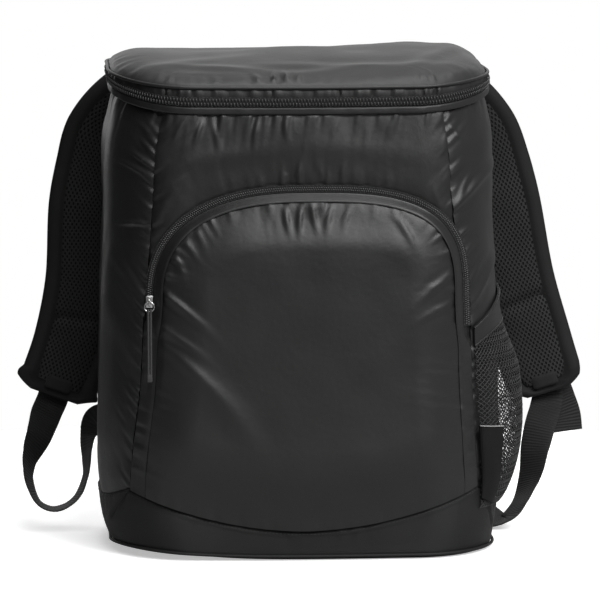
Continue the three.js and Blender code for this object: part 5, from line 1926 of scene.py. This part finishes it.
def pad_patch(name, sign):
    centre, across, face, half, length = pad_line(sign, 400)
    share = np.linspace(0, 1, 401)
    keep = (share >= PATCH_FROM) & (share <= PATCH_TO)
    centre, across, face, length = centre[keep], across[keep], face[keep], length[keep]
    span = np.linspace(-1, 1, 24)[None, :]
    along = (np.linspace(-1, 1, len(centre)) ** 2)[:, None]
    a = PATCH_WIDTH / 2 * span * np.sqrt(1 - 0.45 * along ** 3)
    puff = PATCH_PUFF * (1 - np.abs(span) ** 4) * (1 - along ** 3)
    outer = on_line((centre, across, face), a, PAD_THICKNESS / 2 + 0.3 * MM + puff)
    inner = on_line((centre, across, face), a, 0 * puff + PAD_THICKNESS / 2 - 1.5 * MM)
    uv = flat_map(length[:, None], a)
    piece = wall(name + "_cloth", outer, inner, pad_binding, uv)
    return finish_piece(piece, [name])


pad_patch("strap_patch_left", -1)
pad_patch("strap_patch_right", 1)

# %% [markdown]
# ## Webbing
# Flat ribbed webbing joins each pad to the lower back corner. It isn't a cord: its width and its turns
# are what the eye follows, so it is swept as a flat band whose face direction is given row by row.

# %% Webbing bands
WEB_WIDTH = 24 * MM
WEB_THICKNESS = 1.6 * MM
# Each row: how far out, back and up, then the turn and the tip of the band's face in degrees.
WEB_LEFT = [
    (1.190, 0.905, 0.300, 0, 0), (1.205, 0.880, 0.262, 2, 0), (1.246, 0.600, 0.226, 6, 0),
    (1.284, 0.220, 0.187, 30, 0), (1.332, -0.090, 0.145, 62, 0), (1.341, -0.310, 0.115, 76, 10),
    (1.322, -0.470, 0.081, 84, 35), (1.281, -0.530, 0.053, 88, 60), (1.211, -0.530, 0.042, 90, 90),
    (1.137, -0.470, 0.051, -90, 60), (1.088, -0.400, 0.069, -86, 35), (1.060, -0.310, 0.093, -82, 12),
    (1.043, -0.190, 0.118, -78, 0), (1.040, 0.000, 0.151, -72, 0), (1.030, 0.170, 0.186, -60, 0),
    (0.985, 0.270, 0.214, -35, 0), (0.880, 0.170, 0.222, -8, 0), (0.760, 0.044, 0.214, 0, 0),
    (0.640, 0.044, 0.206, 0, 0),
]
WEB_RIGHT = [
    (1.305, 0.868, 0.305, 0, 0), (1.333, 0.845, 0.258, 2, 0), (1.318, 0.700, 0.228, -4, 0),
    (1.290, 0.500, 0.198, -14, 0), (1.258, 0.300, 0.150, -30, 0), (1.236, 0.020, 0.108, -44, 8),
    (1.196, -0.350, 0.069, -60, 24), (1.140, -0.800, 0.042, -76, 46), (1.078, -1.050, 0.019, -86, 66),
    (1.022, -0.700, 0.014, -80, 76), (0.965, -0.020, 0.019, -50, 56), (0.860, 0.090, 0.037, 0, 6),
    (0.740, 0.034, 0.042, 0, 0),
]
TAIL = [(1.358, 0.948, 0.290, 0, 0), (1.400, 0.908, 0.245, 8, 0), (1.430, 0.880, 0.210, 14, 0),
        (1.440, 0.830, 0.178, 18, 0)]
RIB_HEIGHT = 0.16 * MM


def web(name, rows, sign):
    rows = np.array(rows, float)
    steps = 32 * (len(rows) - 1)
    centre, along, share = smooth_path(path_points(sign * rows[:, 0], rows[:, 1], rows[:, 2]), steps)
    length = run_length(centre)
    turn = np.radians(rows[:, 3])
    tip = np.radians(rows[:, 4])
    faces = np.stack([np.sin(turn) * np.cos(tip), -np.cos(turn) * np.cos(tip), np.sin(tip)], axis=1)
    at = share * (len(rows) - 1)
    face = np.stack([np.interp(at, np.arange(len(rows)), faces[:, i]) for i in range(3)], axis=1)
    across = np.cross(along, face)
    across /= np.linalg.norm(across, axis=1)[:, None]
    out = np.cross(across, along)
    out /= np.linalg.norm(out, axis=1)[:, None]
    span = np.linspace(-1, 1, 15)[None, :]
    a = WEB_WIDTH / 2 * span + 0 * length[:, None]
    rib = RIB_HEIGHT * np.sin(length[:, None] * 2 * math.pi / WEB_RIB)
    edge = 1 - 0.5 * np.abs(span) ** 8
    outer = on_line((centre, across, out), a, (WEB_THICKNESS / 2 + rib) * edge)
    inner = on_line((centre, across, out), a, -(WEB_THICKNESS / 2 + rib) * edge)
    uv = flat_map(length[:, None], a)
    piece = wall(name + "_band", outer, inner, webbing_cloth, uv, coarse=2)
    return finish_piece(piece, [name])


web("webbing_left", WEB_LEFT, -1)
web("webbing_right", WEB_RIGHT, 1)
web("webbing_tail_right", TAIL, 1)
for side in ("left", "right"):
    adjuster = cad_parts["adjuster_" + side]
    adjuster.data.materials.clear()
    adjuster.data.materials.append(moulded)

# %% [markdown]
# ## Studio
# A pale floor and wide soft lights, from above and from the front right: the lid is bright, the right
# shoulder has a sheen, and the left side falls off to black. The room and the floor are white to the
# camera and dimmer as lights. The room is dimmest at the left, and the floor is small, so that little
# light comes back from it to the dark side.

# %% Floor, light and room
FLOOR_RADIUS = 0.62
FLOOR_SIDES = 96
FLOOR_GLOW = 0.45
floor_mesh = bpy.data.meshes.new("floor")
floor_turn = [side / FLOOR_SIDES * 4 * QUARTER for side in range(FLOOR_SIDES)]
floor_ring = [(FLOOR_RADIUS * math.cos(turn), FLOOR_RADIUS * math.sin(turn), 0) for turn in floor_turn]
floor_mesh.from_pydata(floor_ring, [], [tuple(range(FLOOR_SIDES))])
floor_paint = Finish("floor", {"Roughness": 0.9})
floor_paint.shader.inputs["Emission Color"].default_value = (1, 1, 1, 1)
floor_seen = floor_paint.node("ShaderNodeLightPath")
floor_paint.feed(floor_paint.shader.inputs["Emission Strength"], floor_seen * FLOOR_GLOW)
floor_tone = floor_paint.node("ShaderNodeMix", {"data_type": "RGBA"}, {
    0: floor_seen, 6: (0.4, 0.4, 0.4, 1), 7: (0.9, 0.9, 0.9, 1)}, output=2)
floor_paint.feed(floor_paint.shader.inputs["Base Color"], floor_tone)
floor = link("floor", floor_mesh, floor_paint.material)
ROOM_LEFT = 0.03
ROOM_RIGHT = 0.34
room = bpy.data.worlds.new("room")
room.use_nodes = True
room_nodes = room.node_tree.nodes
dim = room_nodes["Background"]
dim.inputs["Color"].default_value = (1, 1, 1, 1)
side = room_nodes.new("ShaderNodeSeparateXYZ")
across = room_nodes.new("ShaderNodeMapRange")
for socket, value in {"From Min": -1.0, "From Max": 1.0, "To Min": ROOM_LEFT, "To Max": ROOM_RIGHT}.items():
    across.inputs[socket].default_value = value
bright = room_nodes.new("ShaderNodeBackground")
bright.inputs["Color"].default_value = (1, 1, 1, 1)
bright.inputs["Strength"].default_value = 1.0
seen = room_nodes.new("ShaderNodeLightPath")
either = room_nodes.new("ShaderNodeMixShader")
where = room_nodes.new("ShaderNodeTexCoord")
for given, taken in (
        (where.outputs["Generated"], side.inputs[0]),
        (side.outputs["X"], across.inputs["Value"]),
        (across.outputs[0], dim.inputs["Strength"]),
        (seen.outputs["Is Camera Ray"], either.inputs[0]),
        (dim.outputs[0], either.inputs[1]),
        (bright.outputs[0], either.inputs[2]),
        (either.outputs[0], room_nodes["World Output"].inputs["Surface"])):
    room.node_tree.links.new(given, taken)
bpy.context.scene.world = room
bpy.context.scene.view_settings.view_transform = "Standard"
LAMPS = {
    "key": ((1.7, -2.4, 2.1), (1.4, 1.4), 100),
    "front": ((0.3, -3.0, 2.3), (1.8, 1.4), 48),
    "wall": ((0.3, 2.6, 1.5), (3.2, 1.6), 18),
    "top": ((0.3, 0.0, 2.4), (1.8, 1.4), 36),
    "edge": ((-1.2, 2.8, 0.8), (0.6, 1.4), 6),
}


def soft_light(name, place, size, power):
    lamp = bpy.data.lights.new(name, "AREA")
    lamp.shape = "RECTANGLE"
    lamp.size, lamp.size_y = size
    lamp.energy = power
    thing = bpy.data.objects.new(name, lamp)
    bpy.context.scene.collection.objects.link(thing)
    thing.location = place
    thing.rotation_euler = (Vector((0, 0, 0.2)) - Vector(place)).to_track_quat("-Z", "Y").to_euler()
    return thing


for lamp_name, (lamp_place, lamp_size, lamp_power) in LAMPS.items():
    soft_light(lamp_name, lamp_place, lamp_size, lamp_power)
print("lamps:", ", ".join(LAMPS))
